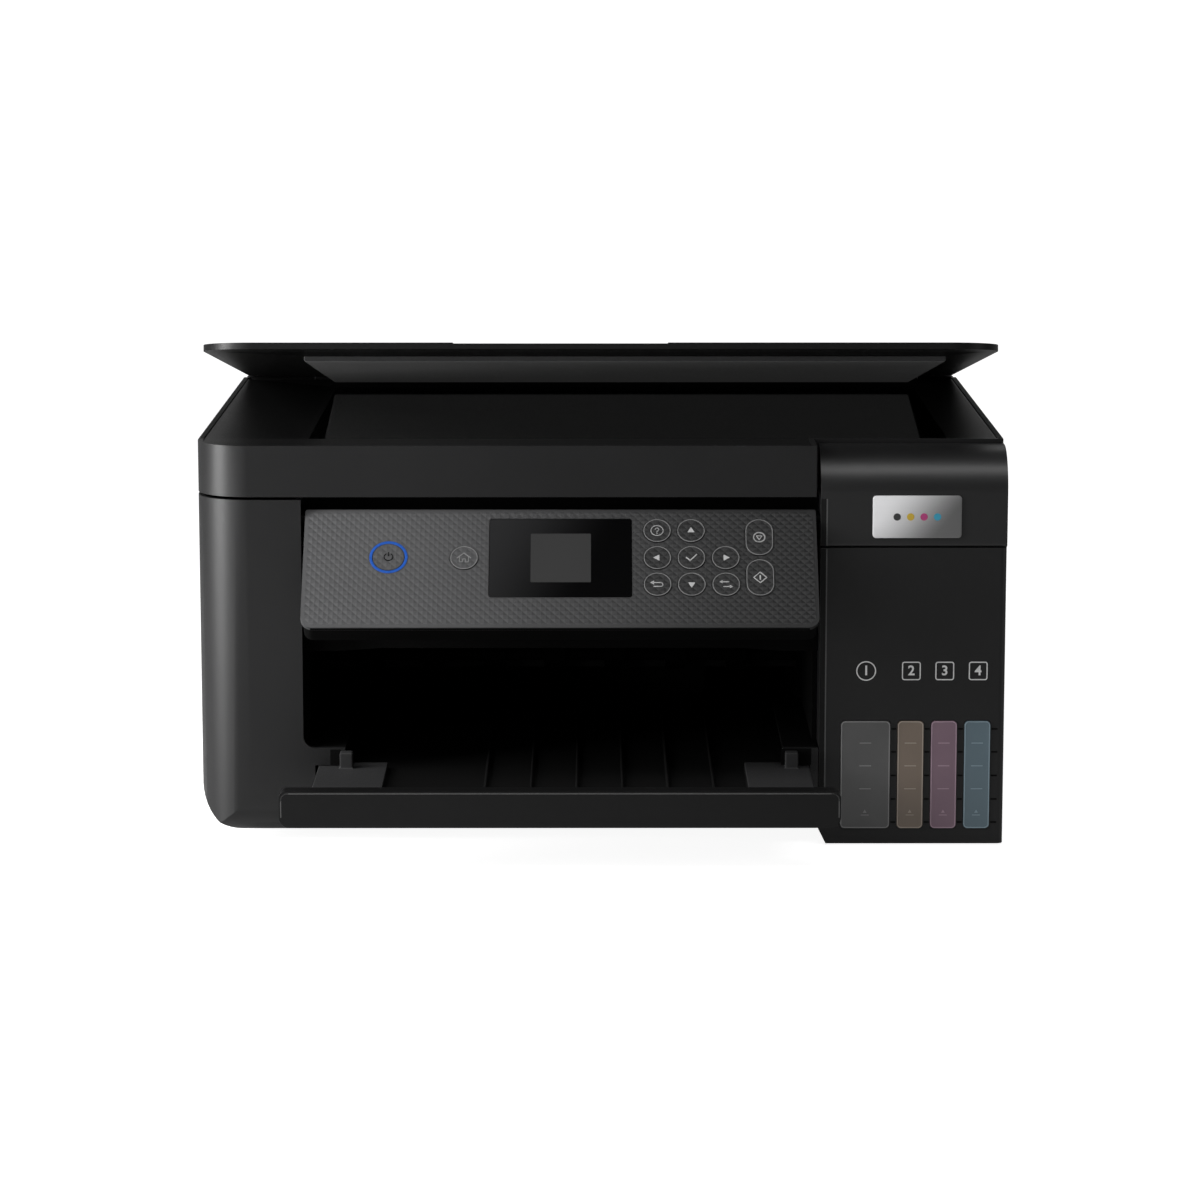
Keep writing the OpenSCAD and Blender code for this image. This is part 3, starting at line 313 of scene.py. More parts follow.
# ink windows, the raised lines on them and the painted highlight round their edges: darker and lighter tone
tintLook = {
    "smokeWindow": (0.050, 0.066),
    "amberWindow": ((0.118, 0.092, 0.070), (0.146, 0.112, 0.086)),
    "mauveWindow": ((0.130, 0.080, 0.108), (0.154, 0.096, 0.126)),
    "tealWindow": ((0.068, 0.104, 0.126), (0.082, 0.122, 0.146)),
    "smokeLine": (0.15, 0.18),
    "amberLine": ((0.24, 0.20, 0.17), (0.28, 0.24, 0.20)),
    "mauveLine": ((0.26, 0.18, 0.22), (0.30, 0.21, 0.26)),
    "tealLine": ((0.16, 0.22, 0.26), (0.19, 0.26, 0.30)),
}
finishes = {}
for name, (dark, light, rough, changes) in plasticLook.items():
    finishes[name] = mouldedPlastic(name, dark, light, rough, **changes)
for name, values in metalLook.items():
    finishes[name] = streakedMetal(name, *values)
for name, (dark, light) in tintLook.items():
    finishes[name] = tintedWindow(name, dark, light)


def glassFinish():
    material, tree, shader, place = startMaterial("scanGlass")
    skin = addSkin(tree, place, 60, 5)
    addTone(tree, shader, skin.outputs["Tone"], (0.30, 0.32, 0.31), (0.36, 0.38, 0.37))
    addShine(tree, shader, skin.outputs["Shine"], 0.02, 0.05)
    setInputs(shader, {"Transmission Weight": 1.0, "IOR": 1.5, "Specular IOR Level": 0.2})
    return material


def lightFinish():
    material, tree, shader, place = startMaterial("powerBlue")
    skin = addSkin(tree, place, 900, 60)
    addTone(tree, shader, skin.outputs["Tone"], (0.003, 0.02, 0.10), (0.005, 0.03, 0.14))
    glow = addNode(tree, "Mix", (-350, -500), data_type="RGBA")
    setInputs(glow, {"A": (0.008, 0.055, 0.26, 1), "B": (0.014, 0.085, 0.36, 1)})
    tree.links.new(skin.outputs["Shine"], glow.inputs["Factor"])
    tree.links.new(glow.outputs["Result"], shader.inputs["Emission Color"])
    setInputs(shader, {"Emission Strength": 0.7, "Roughness": 0.5, "Specular IOR Level": 0.1})
    return material


# mask that rises smoothly across X, and down Z where it is slanted
def addSlantMask(tree, place, slant, start, end):
    split = addNode(tree, "SeparateXYZ", (-1300, 300))
    lean = addNode(tree, "Math", (-1100, 300), operation="MULTIPLY_ADD")
    setInputs(lean, {1: -slant})
    fade = addNode(tree, "MapRange", (-900, 300), interpolation_type="SMOOTHSTEP")
    setInputs(fade, {"From Min": start, "From Max": end})
    tree.links.new(place, split.inputs["Vector"])
    tree.links.new(split.outputs["Z"], lean.inputs[0])
    tree.links.new(split.outputs["X"], lean.inputs[2])
    tree.links.new(lean.outputs["Value"], fade.inputs["Value"])
    return fade.outputs["Result"]


# brushed plate with a painted highlight: bright at its upper left and darker towards its lower right
badgePaintedHighlight = {"slant": 0.8, "start": 0.002, "end": 0.042, "bright": (0.80, 0.80, 0.81), "dull": 0.16,
              "across": 2600, "along": 12, "streaks": 0.08, "metal": 0.35}


def badgeFinish():
    material, tree, shader, place = startMaterial("badgeSilver")
    fade = addSlantMask(tree, place, badgePaintedHighlight["slant"], badgePaintedHighlight["start"], badgePaintedHighlight["end"])
    lines = addNode(tree, "Group", (-900, -100))
    lines.node_tree = fineLines
    setInputs(lines, {"Across": badgePaintedHighlight["across"], "Along": badgePaintedHighlight["along"]})
    mixed = addNode(tree, "Math", (-600, 200), operation="MULTIPLY_ADD")
    setInputs(mixed, {1: badgePaintedHighlight["streaks"]})
    tree.links.new(place, lines.inputs["Vector"])
    tree.links.new(lines.outputs["Height"], mixed.inputs[0])
    tree.links.new(fade, mixed.inputs[2])
    addTone(tree, shader, mixed.outputs["Value"], badgePaintedHighlight["bright"], badgePaintedHighlight["dull"])
    addShine(tree, shader, lines.outputs["Height"], 0.30, 0.42)
    addBump(tree, shader, lines.outputs["Height"], 0.2, 0.02 * mm)
    setInputs(shader, {"Metallic": badgePaintedHighlight["metal"]})
    return material


# smooth plastic of the display window with a painted reflection: paler towards its upper left corner, where a
# lamp is mirrored in it
windowReflectionLook = {"slant": 0.6, "reach": 0.060, "pale": (0.014, 0.014, 0.0145), "deep": (0.0004, 0.0004, 0.0005)}


def windowReflectionFinish():
    material, tree, shader, place = startMaterial("windowShade")
    low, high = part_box("display_window")
    shift = nodes["display_window"].matrix_world.translation
    start = low[0] - shift.x - windowReflectionLook["slant"] * (high[2] - shift.z)
    fade = addSlantMask(tree, place, windowReflectionLook["slant"], start, start + windowReflectionLook["reach"])
    addTone(tree, shader, fade, windowReflectionLook["pale"], windowReflectionLook["deep"])
    addShine(tree, shader, fade, 0.30, 0.34)
    setInputs(shader, {"Specular IOR Level": 0.03})
    return material


# lays a second tone over a finish, here painted light on the panel and painted shade on the tray: one socket of
# a mix takes it, the other keeps the finish's own
def addSecondTone(name, tone, socket, keptSocket):
    tree = finishes[name].node_tree
    shader = tree.nodes["Principled BSDF"]
    kept = shader.inputs["Base Color"].links[0].from_node
    choose = addNode(tree, "Mix", (-100, 300), data_type="RGBA")
    setInputs(choose, {socket: toColor(tone)})
    tree.links.new(kept.outputs["Result"], choose.inputs[keptSocket])
    tree.links.new(choose.outputs["Result"], shader.inputs["Base Color"])
    return tree, tree.nodes["Texture Coordinate"].outputs["Object"], choose.inputs["Factor"]


# painted shade: the tray's sunk middle is darker than its raised shoulders, where it lies in the shade under
# the printer
trayShade = {"tone": 0.003, "from": 0.0367, "to": 0.0373}   # heights in metres


def paintTrayShade():
    tree, place, factor = addSecondTone("trayBlack", trayShade["tone"], "A", "B")
    split = addNode(tree, "SeparateXYZ", (-900, 500))
    level = addNode(tree, "MapRange", (-700, 500))
    setInputs(level, {"From Min": trayShade["from"], "From Max": trayShade["to"]})
    tree.links.new(place, split.inputs["Vector"])
    tree.links.new(split.outputs["Z"], level.inputs["Value"])
    tree.links.new(level.outputs["Result"], factor)


# painted light: the panel's plastic is paler towards its left end, where the lamp at the left falls on it
panelPaintedLight = {"tone": (0.0105, 0.0105, 0.0107), "fromLeft": 0.006, "pastRight": 0.012}


def paintPanelLight():
    tree, place, factor = addSecondTone("panelSatin", panelPaintedLight["tone"], "B", "A")
    low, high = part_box("panel_face")
    shift = nodes["panel_face"].matrix_world.translation.x
    start, end = low[0] - shift + panelPaintedLight["fromLeft"], high[0] - shift + panelPaintedLight["pastRight"]
    fade = addSlantMask(tree, place, 0, start, end)
    tree.links.new(fade, factor)


paintPanelLight()
paintTrayShade()
finishes["badgeSilver"] = badgeFinish()
finishes["windowShade"] = windowReflectionFinish()
finishes["scanGlass"] = glassFinish()
finishes["powerBlue"] = lightFinish()

# which finish each material slot of the record takes
slotFinish = {
    "case_black": "caseBlack", "case_dark": "caseDark", "panel_plastic": "panelSatin",
    "window_black": "windowShade", "screen_grey": "screenGrey", "button_black": "keySatin",
    "tank_smoke": "smokeWindow", "tank_amber": "amberWindow", "tank_mauve": "mauveWindow",
    "tank_teal": "tealWindow", "cap_grey": "capGrey", "cap_amber": "capAmber", "cap_mauve": "capMauve",
    "cap_teal": "capTeal", "scan_glass": "scanGlass", "mat_grey": "foamGrey", "steel_sheet": "sheetSteel",
    "steel_rod": "rodSteel", "roller_rubber": "rollerRubber", "belt_rubber": "beltRubber",
    "brass": "brass", "pulley_alloy": "alloy", "board_green": "boardGreen", "foot_rubber": "footRubber",
    "inner_black": "innerBlack", "tube_dark": "tubeDark",
}
for subpart in frame["record"]["subparts"]:
    material = finishes[slotFinish[subpart["material_slot"]]]
    node = nodes[subpart["node"]]
    node.data.materials.clear()
    node.data.materials.append(material)
# parts whose finish differs from their slot's usual one; deepBlack on the panel housing, the output bay and its
# roller is painted shade for the shade under the panel and inside the bay, and dishBlack, a little darker than
# the case, is partly painted shade for the scanner's dish under the lid
keyNodes = [name for name in nodes if name.startswith("button_")]
brightKeys = ("button_power", "button_home")
partFinish = {
    "output_tray": "trayBlack", "main_frame": "innerBlack", "panel_housing": "deepBlack",
    "output_bay": "deepBlack", "output_roller": "deepBlack", "scanner_frame": "dishBlack",
    "lid_cover": "dishBlack", "tank_cover": "coverBlack", "tray_extension": "dishBlack",
}
partFinish.update({name: "keyDim" for name in keyNodes if name not in brightKeys})
for nodeName, finish in partFinish.items():
    nodes[nodeName].data.materials[0] = finishes[finish]
print("finishes made:", len(finishes))


# how round outer edges are, in mm, in how many steps, and the parts that have them
edgeLook = {
    (0.8, 3): ("lower_case", "tank_housing"),
    (0.9, 3): ("scanner_case", "tray_extension"),
    (1.3, 4): ("lid_cover",),
    (0.6, 3): ("tank_cover",),
    (0.7, 3): ("output_tray",),
    (0.4, 2): ("panel_housing", "feeder_cover", "cap_black", "cap_yellow", "cap_magenta", "cap_cyan"),
    (0.45, 2): ("panel_face",),
    (0.2, 2): ("display_window",),
    (0.5, 2): ("output_bay", "paper_support", "scanner_frame", "carriage", "feet", "scan_bar"),
    (0.6, 2): ("feeder_housing",),
    (0.5, 3): ("document_mat", "tank_black", "tank_yellow", "tank_magenta", "tank_cyan"),
    (0.3, 2): ("edge_guide_left", "edge_guide_right"),
}
rounded = {name: edge for edge, names in edgeLook.items() for name in names}
for nodeName, (roundness, steps) in rounded.items():
    node = nodes[nodeName]
    for polygon in node.data.polygons:
        polygon.use_smooth = True
    weld = node.modifiers.new("weld", "WELD")
    weld.merge_threshold = 0.002 * mm
    bevel = node.modifiers.new("softEdge", "BEVEL")
    bevel.width = roundness * mm
    bevel.segments = steps
    bevel.limit_method = "ANGLE"
    bevel.angle_limit = radians(35)
    bevel.use_clamp_overlap = True
    flats = node.modifiers.new("flatFaces", "WEIGHTED_NORMAL")
    flats.mode = "FACE_AREA"
    flats.weight = 90
print("edges rounded:", len(rounded))


# modelling helpers
snug = 0.01 * mm   # how far a round corner stays under half the width
sunk = 0.1 * mm    # how deep a piece's foot is set into what carries it


def pickOnly(piece):
    bpy.ops.object.select_all(action="DESELECT")
    piece.select_set(True)
    bpy.context.view_layer.objects.active = piece


def settle(piece):
    pickOnly(piece)
    bpy.ops.object.transform_apply(location=True, rotation=True, scale=True)


def applyModifier(piece, modifier):
    pickOnly(piece)
    bpy.ops.object.modifier_apply(modifier=modifier.name)


def roundEdges(piece, width):
    bevel = piece.modifiers.new("roundEdges", "BEVEL")
    bevel.width = width
    bevel.segments = 2
    bevel.limit_method = "ANGLE"
    bevel.angle_limit = radians(35)
    applyModifier(piece, bevel)


# selects all of the open mesh
def pickFaces():
    bpy.ops.mesh.select_all(action="SELECT")


def fixNormals(piece):
    pickOnly(piece)
    bpy.ops.object.mode_set(mode="EDIT")
    pickFaces()
    bpy.ops.mesh.remove_doubles(threshold=0.0005 * mm)
    bpy.ops.mesh.normals_make_consistent(inside=False)
    bpy.ops.object.mode_set(mode="OBJECT")


def joinPieces(pieces):
    bpy.ops.object.select_all(action="DESELECT")
    for piece in pieces:
        piece.select_set(True)
    bpy.context.view_layer.objects.active = pieces[0]
    bpy.ops.object.join()
    return bpy.context.object


def combine(piece, other, operation):
    cut = piece.modifiers.new("combine", "BOOLEAN")
    cut.operation = operation
    cut.solver = "EXACT"
    cut.object = other
    applyModifier(piece, cut)


def dropPiece(piece):
    bpy.data.objects.remove(piece, do_unlink=True)


def copyPiece(piece):
    twin = piece.copy()
    twin.data = piece.data.copy()
    bpy.context.collection.objects.link(twin)
    return twin


# scales a flat outline, rounds its corners and stays in edit mode
def openOutline(outline, size, corner, segments):
    outline.scale = (size[0], size[1], 1)
    settle(outline)
    bpy.ops.object.mode_set(mode="EDIT")
    pickFaces()
    if corner > 0:
        bpy.ops.mesh.bevel(offset=corner, offset_type="OFFSET", segments=segments, affect="VERTICES")


# gives the open outline its height and leaves edit mode
def closeOutline(height):
    pickFaces()
    bpy.ops.mesh.extrude_region_move(TRANSFORM_OT_translate={"value": (0, 0, height)})
    pickFaces()
    bpy.ops.mesh.normals_make_consistent(inside=False)
    bpy.ops.object.mode_set(mode="OBJECT")


# plate with rounded corners, lying in X and Y from low to low + height
def roundPlate(middle, size, corner, low, height, segments=8):
    bpy.ops.mesh.primitive_plane_add(size=1, location=(middle[0], middle[1], low))
    plate = bpy.context.object
    openOutline(plate, size, corner, segments)
    closeOutline(height)
    return plate


# round plate of the given diameter
def disc(middle, width, low, height):
    return roundPlate(middle, (width, width), width / 2 - snug, low, height)


# closed line round a rounded rectangle
def roundFrame(middle, size, corner, line, low, height, segments=10):
    bpy.ops.mesh.primitive_plane_add(size=1, location=(middle[0], middle[1], low))
    outline = bpy.context.object
    openOutline(outline, size, corner, segments)
    pickFaces()
    bpy.ops.mesh.remove_doubles(threshold=0.0005 * mm)
    pickFaces()
    bpy.ops.mesh.inset(thickness=line, depth=0, use_even_offset=True)
    bpy.ops.mesh.delete(type="FACE")
    closeOutline(height)
    return outline


# straight stroke of a symbol
def stroke(start, end, width, low, height):
    length = hypot(end[0] - start[0], end[1] - start[1])
    bpy.ops.mesh.primitive_plane_add(
        size=1, location=((start[0] + end[0]) / 2, (start[1] + end[1]) / 2, low),
        rotation=(0, 0, atan2(end[1] - start[1], end[0] - start[0])))
    bar = bpy.context.object
    openOutline(bar, (length + width, width), width * 0.3, 2)
    closeOutline(height)
    return bar


def strokes(points, width, low, height, closed=False):
    ends = points[1:] + (points[:1] if closed else [])
    return [stroke(a, b, width, low, height) for a, b in zip(points, ends)]


# filled triangle, turned so that its tip points along the given angle
def wedge(middle, reach, turn, low, height):
    bpy.ops.mesh.primitive_circle_add(
        vertices=3, radius=reach, fill_type="NGON", location=(middle[0], middle[1], low),
        rotation=(0, 0, turn - pi / 2))
    tip = bpy.context.object
    openOutline(tip, (1, 1), reach * 0.12, 2)
    closeOutline(height)
    return tip


# arc of a symbol, from one angle to another in degrees
def arc(middle, radius, start, end, width, low, height, steps):
    angles = [radians(start + (end - start) * i / steps) for i in range(steps + 1)]
    points = [(middle[0] + radius * cos(a), middle[1] + radius * sin(a)) for a in angles]
    return strokes(points, width, low, height)


def numeral(word, middle, size, low, height):
    bpy.ops.object.text_add(location=(0, 0, 0))
    letter = bpy.context.object
    letter.data.body = word
    letter.data.size = size
    letter.data.align_x = "CENTER"
    letter.data.align_y = "CENTER"
    letter.data.extrude = height / 2
    letter.data.offset = size * 0.018
    letter.data.resolution_u = 4
    pickOnly(letter)
    bpy.ops.object.convert(target="MESH")
    letter = bpy.context.object
    letter.location = (middle[0], middle[1], low + height / 2)
    settle(letter)
    fixNormals(letter)
    return letter


# dresses a piece and hands it to its body; one that lies on a surface is first brought there
def finishPiece(piece, surface, name, body, finish, smooth=30):
    if surface is not None:
        piece.matrix_world = surface @ piece.matrix_world
        settle(piece)
    piece.name = name
    piece.data.name = name
    settle(piece)
    bpy.ops.object.shade_smooth_by_angle(angle=radians(smooth))
    piece.data.materials.clear()
    piece.data.materials.append(finishes[finish])
    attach(piece, body)


# box of a node in a tilted frame: lowest and highest corner
def boxOn(nodeName, matrix):
    inverse = matrix.inverted()
    points = [inverse @ vertex.co for vertex in nodes[nodeName].data.vertices]
    low = Vector([min(point[i] for point in points) for i in range(3)])
    high = Vector([max(point[i] for point in points) for i in range(3)])
    return low, high


# frames of the surfaces that carry marks: X right, Y up the surface, Z out of it
upright = Matrix.Rotation(radians(90), 4, "X")
tiltJoint = joints["panel_tilt"]
panelSurface = (
    Matrix.Translation((0, tiltJoint["pos_m"][1], tiltJoint["pos_m"][2]))
    @ Matrix.Rotation(radians(tiltJoint["range_deg"][0]), 4, "X") @ upright)
frontSurface = Matrix.Translation((0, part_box("lower_case")[0][1], 0)) @ upright


# control panel
panelLook = {
    "cell": 4.3 * mm,      # diagonal of one diamond
    "relief": 0.2 * mm,    # height of a diamond's tip
    "base": 0.6 * mm,      # thickness under the tips
    "lift": 0.02 * mm,     # how far the pattern stands off the plate
    "margin": 1.6 * mm,    # plain border round the pattern
    "corner": 4.0 * mm,
    "windowCorner": 2.2 * mm,
    "windowGap": 0.5 * mm,
    "keyGap": 0.5 * mm,
    "ringGap": 1.9 * mm,
}


# sheet of low four-sided tips on a thin base
def diamondSheet(middle, size, low):
    side = panelLook["cell"] / 2 ** 0.5
    reach = (size[0] + size[1]) / 2 ** 0.5 + side
    count = int(reach / side) + 1
    bpy.ops.mesh.primitive_grid_add(
        x_subdivisions=count, y_subdivisions=count, size=1,
        location=(middle[0], middle[1], low), rotation=(0, 0, radians(45)))
    sheet = bpy.context.object
    openOutline(sheet, (count * side, count * side), 0, 0)
    bpy.ops.mesh.poke(offset=panelLook["relief"])
    closeOutline(-panelLook["base"])
    return sheet


faceLow, faceHigh = boxOn("panel_face", panelSurface)
windowLow, windowHigh = boxOn("display_window", panelSurface)
faceTop = faceHigh.z
faceMiddle = (faceLow + faceHigh) / 2
faceSize = faceHigh - faceLow
keyBoxes = {name: boxOn(name, panelSurface) for name in keyNodes}

sheet = diamondSheet(faceMiddle, faceSize, faceTop + panelLook["lift"])
margin, windowGap = panelLook["margin"], panelLook["windowGap"]
trim = roundPlate(faceMiddle, (faceSize.x - 2 * margin, faceSize.y - 2 * margin), panelLook["corner"],
                  faceTop - sunk, 2 * mm)
relief = copyPiece(sheet)
combine(relief, trim, "INTERSECT")
cutFoot, cutHeight = faceTop - 1 * mm, 4 * mm
holeSize = (windowHigh.x - windowLow.x + 2 * windowGap, windowHigh.y - windowLow.y + 2 * windowGap)
holes = [roundPlate((windowLow + windowHigh) / 2, holeSize, panelLook["windowCorner"], cutFoot, cutHeight)]
for name, (low, high) in keyBoxes.items():
    gap = panelLook["ringGap"] if name == "button_power" else panelLook["keyGap"]
    width, height = high.x - low.x + 2 * gap, high.y - low.y + 2 * gap
    holes.append(roundPlate((low + high) / 2, (width, height), width / 2 - snug, cutFoot, cutHeight))
holePlate = joinPieces(holes)
combine(relief, holePlate, "DIFFERENCE")
dropPiece(holePlate)
dropPiece(trim)
finishPiece(relief, panelSurface, "panelRelief", "panel", "panelSatin", smooth=2)
screenLook = {"sink": 0.05 * mm, "proud": 0.03 * mm, "corner": 0.4 * mm}
screenLow, screenHigh = boxOn("lcd_screen", panelSurface)
screenSize = screenHigh - screenLow
screenPane = roundPlate((screenLow + screenHigh) / 2, (screenSize.x, screenSize.y), screenLook["corner"],
                        windowHigh.z - screenLook["sink"], screenLook["sink"] + screenLook["proud"],
                        segments=3)
finishPiece(screenPane, panelSurface, "screenPane", "panel", "screenGrey")
print("panel relief and screen done")


# keys
keyLook = {
    "line": 0.36 * mm,      # width of the printed line round a key
    "sign": 0.44 * mm,      # width of the strokes of a sign
    "proud": 0.03 * mm,
    "edge": 0.35 * mm,
}


def keySign(name, m, top):
    w, h, t = keyLook["sign"], keyLook["proud"] + 0.2 * mm, top
    x, y = m

    def at(*pairs):
        return [(x + px * mm, y + py * mm) for px, py in pairs]

    if name == "power":
        return arc(m, 2.0 * mm, 125, 415, w, t, h, 14) + strokes(at((0, 0.6), (0, 2.5)), w, t, h)
    if name == "home":
        roof = strokes(at((-3.1, -0.1), (0, 2.6), (3.1, -0.1)), w, t, h)
        walls = strokes(at((-2.1, 0.3), (-2.1, -2.3), (-0.7, -2.3), (-0.7, -0.7), (0.7, -0.7), (0.7, -2.3),
                           (2.1, -2.3), (2.1, 0.3)), w * 0.9, t, h)
        return roof + walls
    if name == "help":
        ring = arc(m, 2.8 * mm, 0, 360, w * 0.8, t, h, 20)
        hook = arc((x, y + 0.55 * mm), 0.85 * mm, 165, -75, w * 0.85, t, h, 9)
        return ring + hook + strokes(at((0.1, -0.3), (0, -0.75)), w * 0.85, t, h) + [
            stroke((x, y - 1.5 * mm), (x, y - 1.55 * mm), w * 0.95, t, h)]
    if name in ("up", "left", "right", "down"):
        turns = {"right": 0, "up": 90, "left": 180, "down": 270}
        return [wedge(m, 1.9 * mm, radians(turns[name]), t, h)]
    if name == "ok":
        return strokes(at((-2.2, 0.1), (-0.6, -1.6), (2.4, 1.7)), w * 1.15, t, h)
    if name == "back":
        line = strokes(at((-2.3, 0.9), (1.4, 0.9)), w, t, h) + strokes(at((-1.6, -1.2), (1.4, -1.2)), w, t, h)
        bend = arc((x + 1.4 * mm, y - 0.15 * mm), 1.05 * mm, -90, 90, w, t, h, 8)
        return line + bend + [wedge((x - 2.2 * mm, y + 0.9 * mm), 1.2 * mm, pi, t, h)]
    if name == "menu":
        rows = strokes(at((-2.2, 1.3), (1.2, 1.3)), w, t, h) + strokes(at((-1.2, -1.3), (2.2, -1.3)), w, t, h)
        tips = [wedge((x - 2.1 * mm, y + 1.3 * mm), 1.0 * mm, pi, t, h),
                wedge((x + 2.1 * mm, y - 1.3 * mm), 1.0 * mm, 0, t, h)]
        return rows + tips
    if name == "stop":
        ring = arc(m, 2.6 * mm, 0, 360, w * 1.3, t, h, 20)
        return ring + strokes(at((-1.3, 0.7), (1.3, 0.7), (0, -1.4)), w * 0.8, t, h, closed=True)
    if name == "start":
        diamond = strokes(at((0, 2.9), (3.0, 0), (0, -2.9), (-3.0, 0)), w, t, h, closed=True)
        return diamond + strokes(at((0, 1.0), (0, -1.0)), w * 1.4, t, h)
    return []


for name, (low, high) in keyBoxes.items():
    short = name.replace("button_", "")
    middle = (low + high) / 2
    width, height = high.x - low.x, high.y - low.y
    plate = roundPlate(middle, (width - 2 * keyLook["edge"], height - 2 * keyLook["edge"]),
                       width / 2 - keyLook["edge"] - snug, high.z - sunk, 2 * mm)
    pad = copyPiece(sheet)
    pad.location.z = high.z - faceTop
    settle(pad)
    combine(pad, plate, "INTERSECT")
    dropPiece(plate)
    padFinish = "keySatin" if name in brightKeys else "keyDim"
    finishPiece(pad, panelSurface, short + "Pad", name, padFinish, smooth=2)
    sign = joinPieces(keySign(short, (middle.x, middle.y), high.z))
    signFinish = {"power": "markBlack", "home": "markDim"}.get(short, "signGrey")
    finishPiece(sign, panelSurface, short + "Sign", name, signFinish)
    if short == "power":
        continue
    outline = roundFrame((middle.x, middle.y), (width - 0.1 * mm, height - 0.1 * mm), width / 2 - 0.06 * mm,
                         keyLook["line"], high.z - sunk, keyLook["proud"] + 0.3 * mm)
    lineTone = "markDim" if short == "home" else "markGrey"
    finishPiece(outline, panelSurface, short + "Line", name, lineTone)
dropPiece(sheet)

ringLook = {"width": 1.25 * mm, "gap": 0.3 * mm, "proud": 0.25 * mm, "edge": 0.12 * mm}
low, high = keyBoxes["button_power"]
middle = (low + high) / 2
outer = high.x - low.x + 2 * (ringLook["gap"] + ringLook["width"])
powerRing = roundFrame((middle.x, middle.y), (outer, outer), outer / 2 - snug, ringLook["width"],
                       faceTop - sunk, ringLook["proud"] + sunk, segments=16)
roundEdges(powerRing, ringLook["edge"])
finishPiece(powerRing, panelSurface, "powerRing", "panel", "powerBlue")
print("keys done:", len(keyBoxes))


# ink tank front
tankLook = {
    "levels": (48.9, 38.1, 27.2),   # heights of the raised lines, mm
    "reach": 2.5,                   # half the length of a raised line
    "line": 0.45,
    "lineProud": 0.25,
    "lowMark": 17.5,
    "ticks": (55.5, 44.6, 33.4, 22.2, 11.2),
    "tick": 0.75,
    "tickInset": 0.9,
    "pastLast": 4.0,                # width of the strip to the right of the last window
    "labelHeight": 82.9,
    "labelSizes": (9.2, 8.7, 8.7, 8.7),
    "labelCorner": 1.2,
    "letter": 6.4,
    "labelFilm": (66.5, 14.5),
}
tankNames = ["tank_black", "tank_yellow", "tank_magenta", "tank_cyan"]
lineFinish = ["smokeLine", "amberLine", "mauveLine", "tealLine"]


# the window is the part of a tank that stands at the very front
def windowSpan(nodeName):
    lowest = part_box(nodeName)[0][1]
    xs = [v.co.x for v in nodes[nodeName].data.vertices if v.co.y < lowest + 0.3 * mm]
    zs = [v.co.z for v in nodes[nodeName].data.vertices if v.co.y < lowest + 0.3 * mm]
    return min(xs), max(xs), min(zs), max(zs), lowest


windows = [windowSpan(name) for name in tankNames]
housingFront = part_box("tank_housing")[0][1]
windowProud = housingFront - windows[0][4]
lineFoot, lineHeight = windowProud - sunk, tankLook["lineProud"] * mm
for index, (left, right, bottom, top, _) in enumerate(windows):
    middle = (left + right) / 2
    reach = tankLook["reach"] * mm
    mark = tankLook["lowMark"] * mm
    parts = [stroke((middle - reach, level * mm), (middle + reach, level * mm), tankLook["line"] * mm,
                    lineFoot, lineHeight) for level in tankLook["levels"]]
    parts.append(wedge((middle, mark - 1.2 * mm), 1.0 * mm, radians(90), lineFoot, lineHeight))
    parts.append(stroke((middle - 1.7 * mm, mark - 2.8 * mm), (middle + 1.7 * mm, mark - 2.8 * mm), 0.4 * mm,
                        lineFoot, lineHeight))
    # the frame round each window is a painted highlight along its rounded edges
    parts.append(roundFrame((middle, (bottom + top) / 2), (right - left - 0.2 * mm, top - bottom - 0.2 * mm),
                            2.0 * mm, 0.5 * mm, lineFoot, 0.2 * mm))
    finishPiece(joinPieces(parts), frontSurface, tankNames[index] + "Lines", "body",
                lineFinish[index])

# short ticks on the housing between the windows and to the right of the last
lastRight = windows[3][1]
spans = [(windows[i][1], windows[i + 1][0]) for i in range(3)]
spans.append((lastRight, lastRight + tankLook["pastLast"] * mm))
inset = tankLook["tickInset"] * mm
tickWidth = tankLook["tick"] * mm
parts = [stroke((left + inset, height * mm), (right - inset, height * mm), tickWidth, -sunk, 0.15 * mm)
         for height in tankLook["ticks"] for left, right in spans]
finishPiece(joinPieces(parts), frontSurface, "tankTicks", "body", "markBlack")

# labels over the windows: a circle and three rounded squares with plain numerals
labelHeight = tankLook["labelHeight"] * mm
labelFoot, labelThick = 0.02 * mm, 0.08 * mm
parts = []
for index, (left, right, bottom, top, _) in enumerate(windows):
    middle = ((left + right) / 2, labelHeight)
    size = tankLook["labelSizes"][index] * mm
    corner = size / 2 - snug if index == 0 else tankLook["labelCorner"] * mm
    parts.append(roundFrame(middle, (size, size), corner, 0.5 * mm, labelFoot, labelThick))
    parts.append(numeral(str(index + 1), middle, tankLook["letter"] * mm, labelFoot, labelThick))
finishPiece(joinPieces(parts), frontSurface, "tankLabels", "body", "labelGrey")

filmMiddle = ((windows[0][0] + windows[3][1]) / 2 + 2 * mm, labelHeight)
film = roundPlate(filmMiddle, (tankLook["labelFilm"][0] * mm, tankLook["labelFilm"][1] * mm), 0.8 * mm,
                  -0.05 * mm, 0.09 * mm)
finishPiece(film, frontSurface, "labelFilm", "body", "caseBlack")

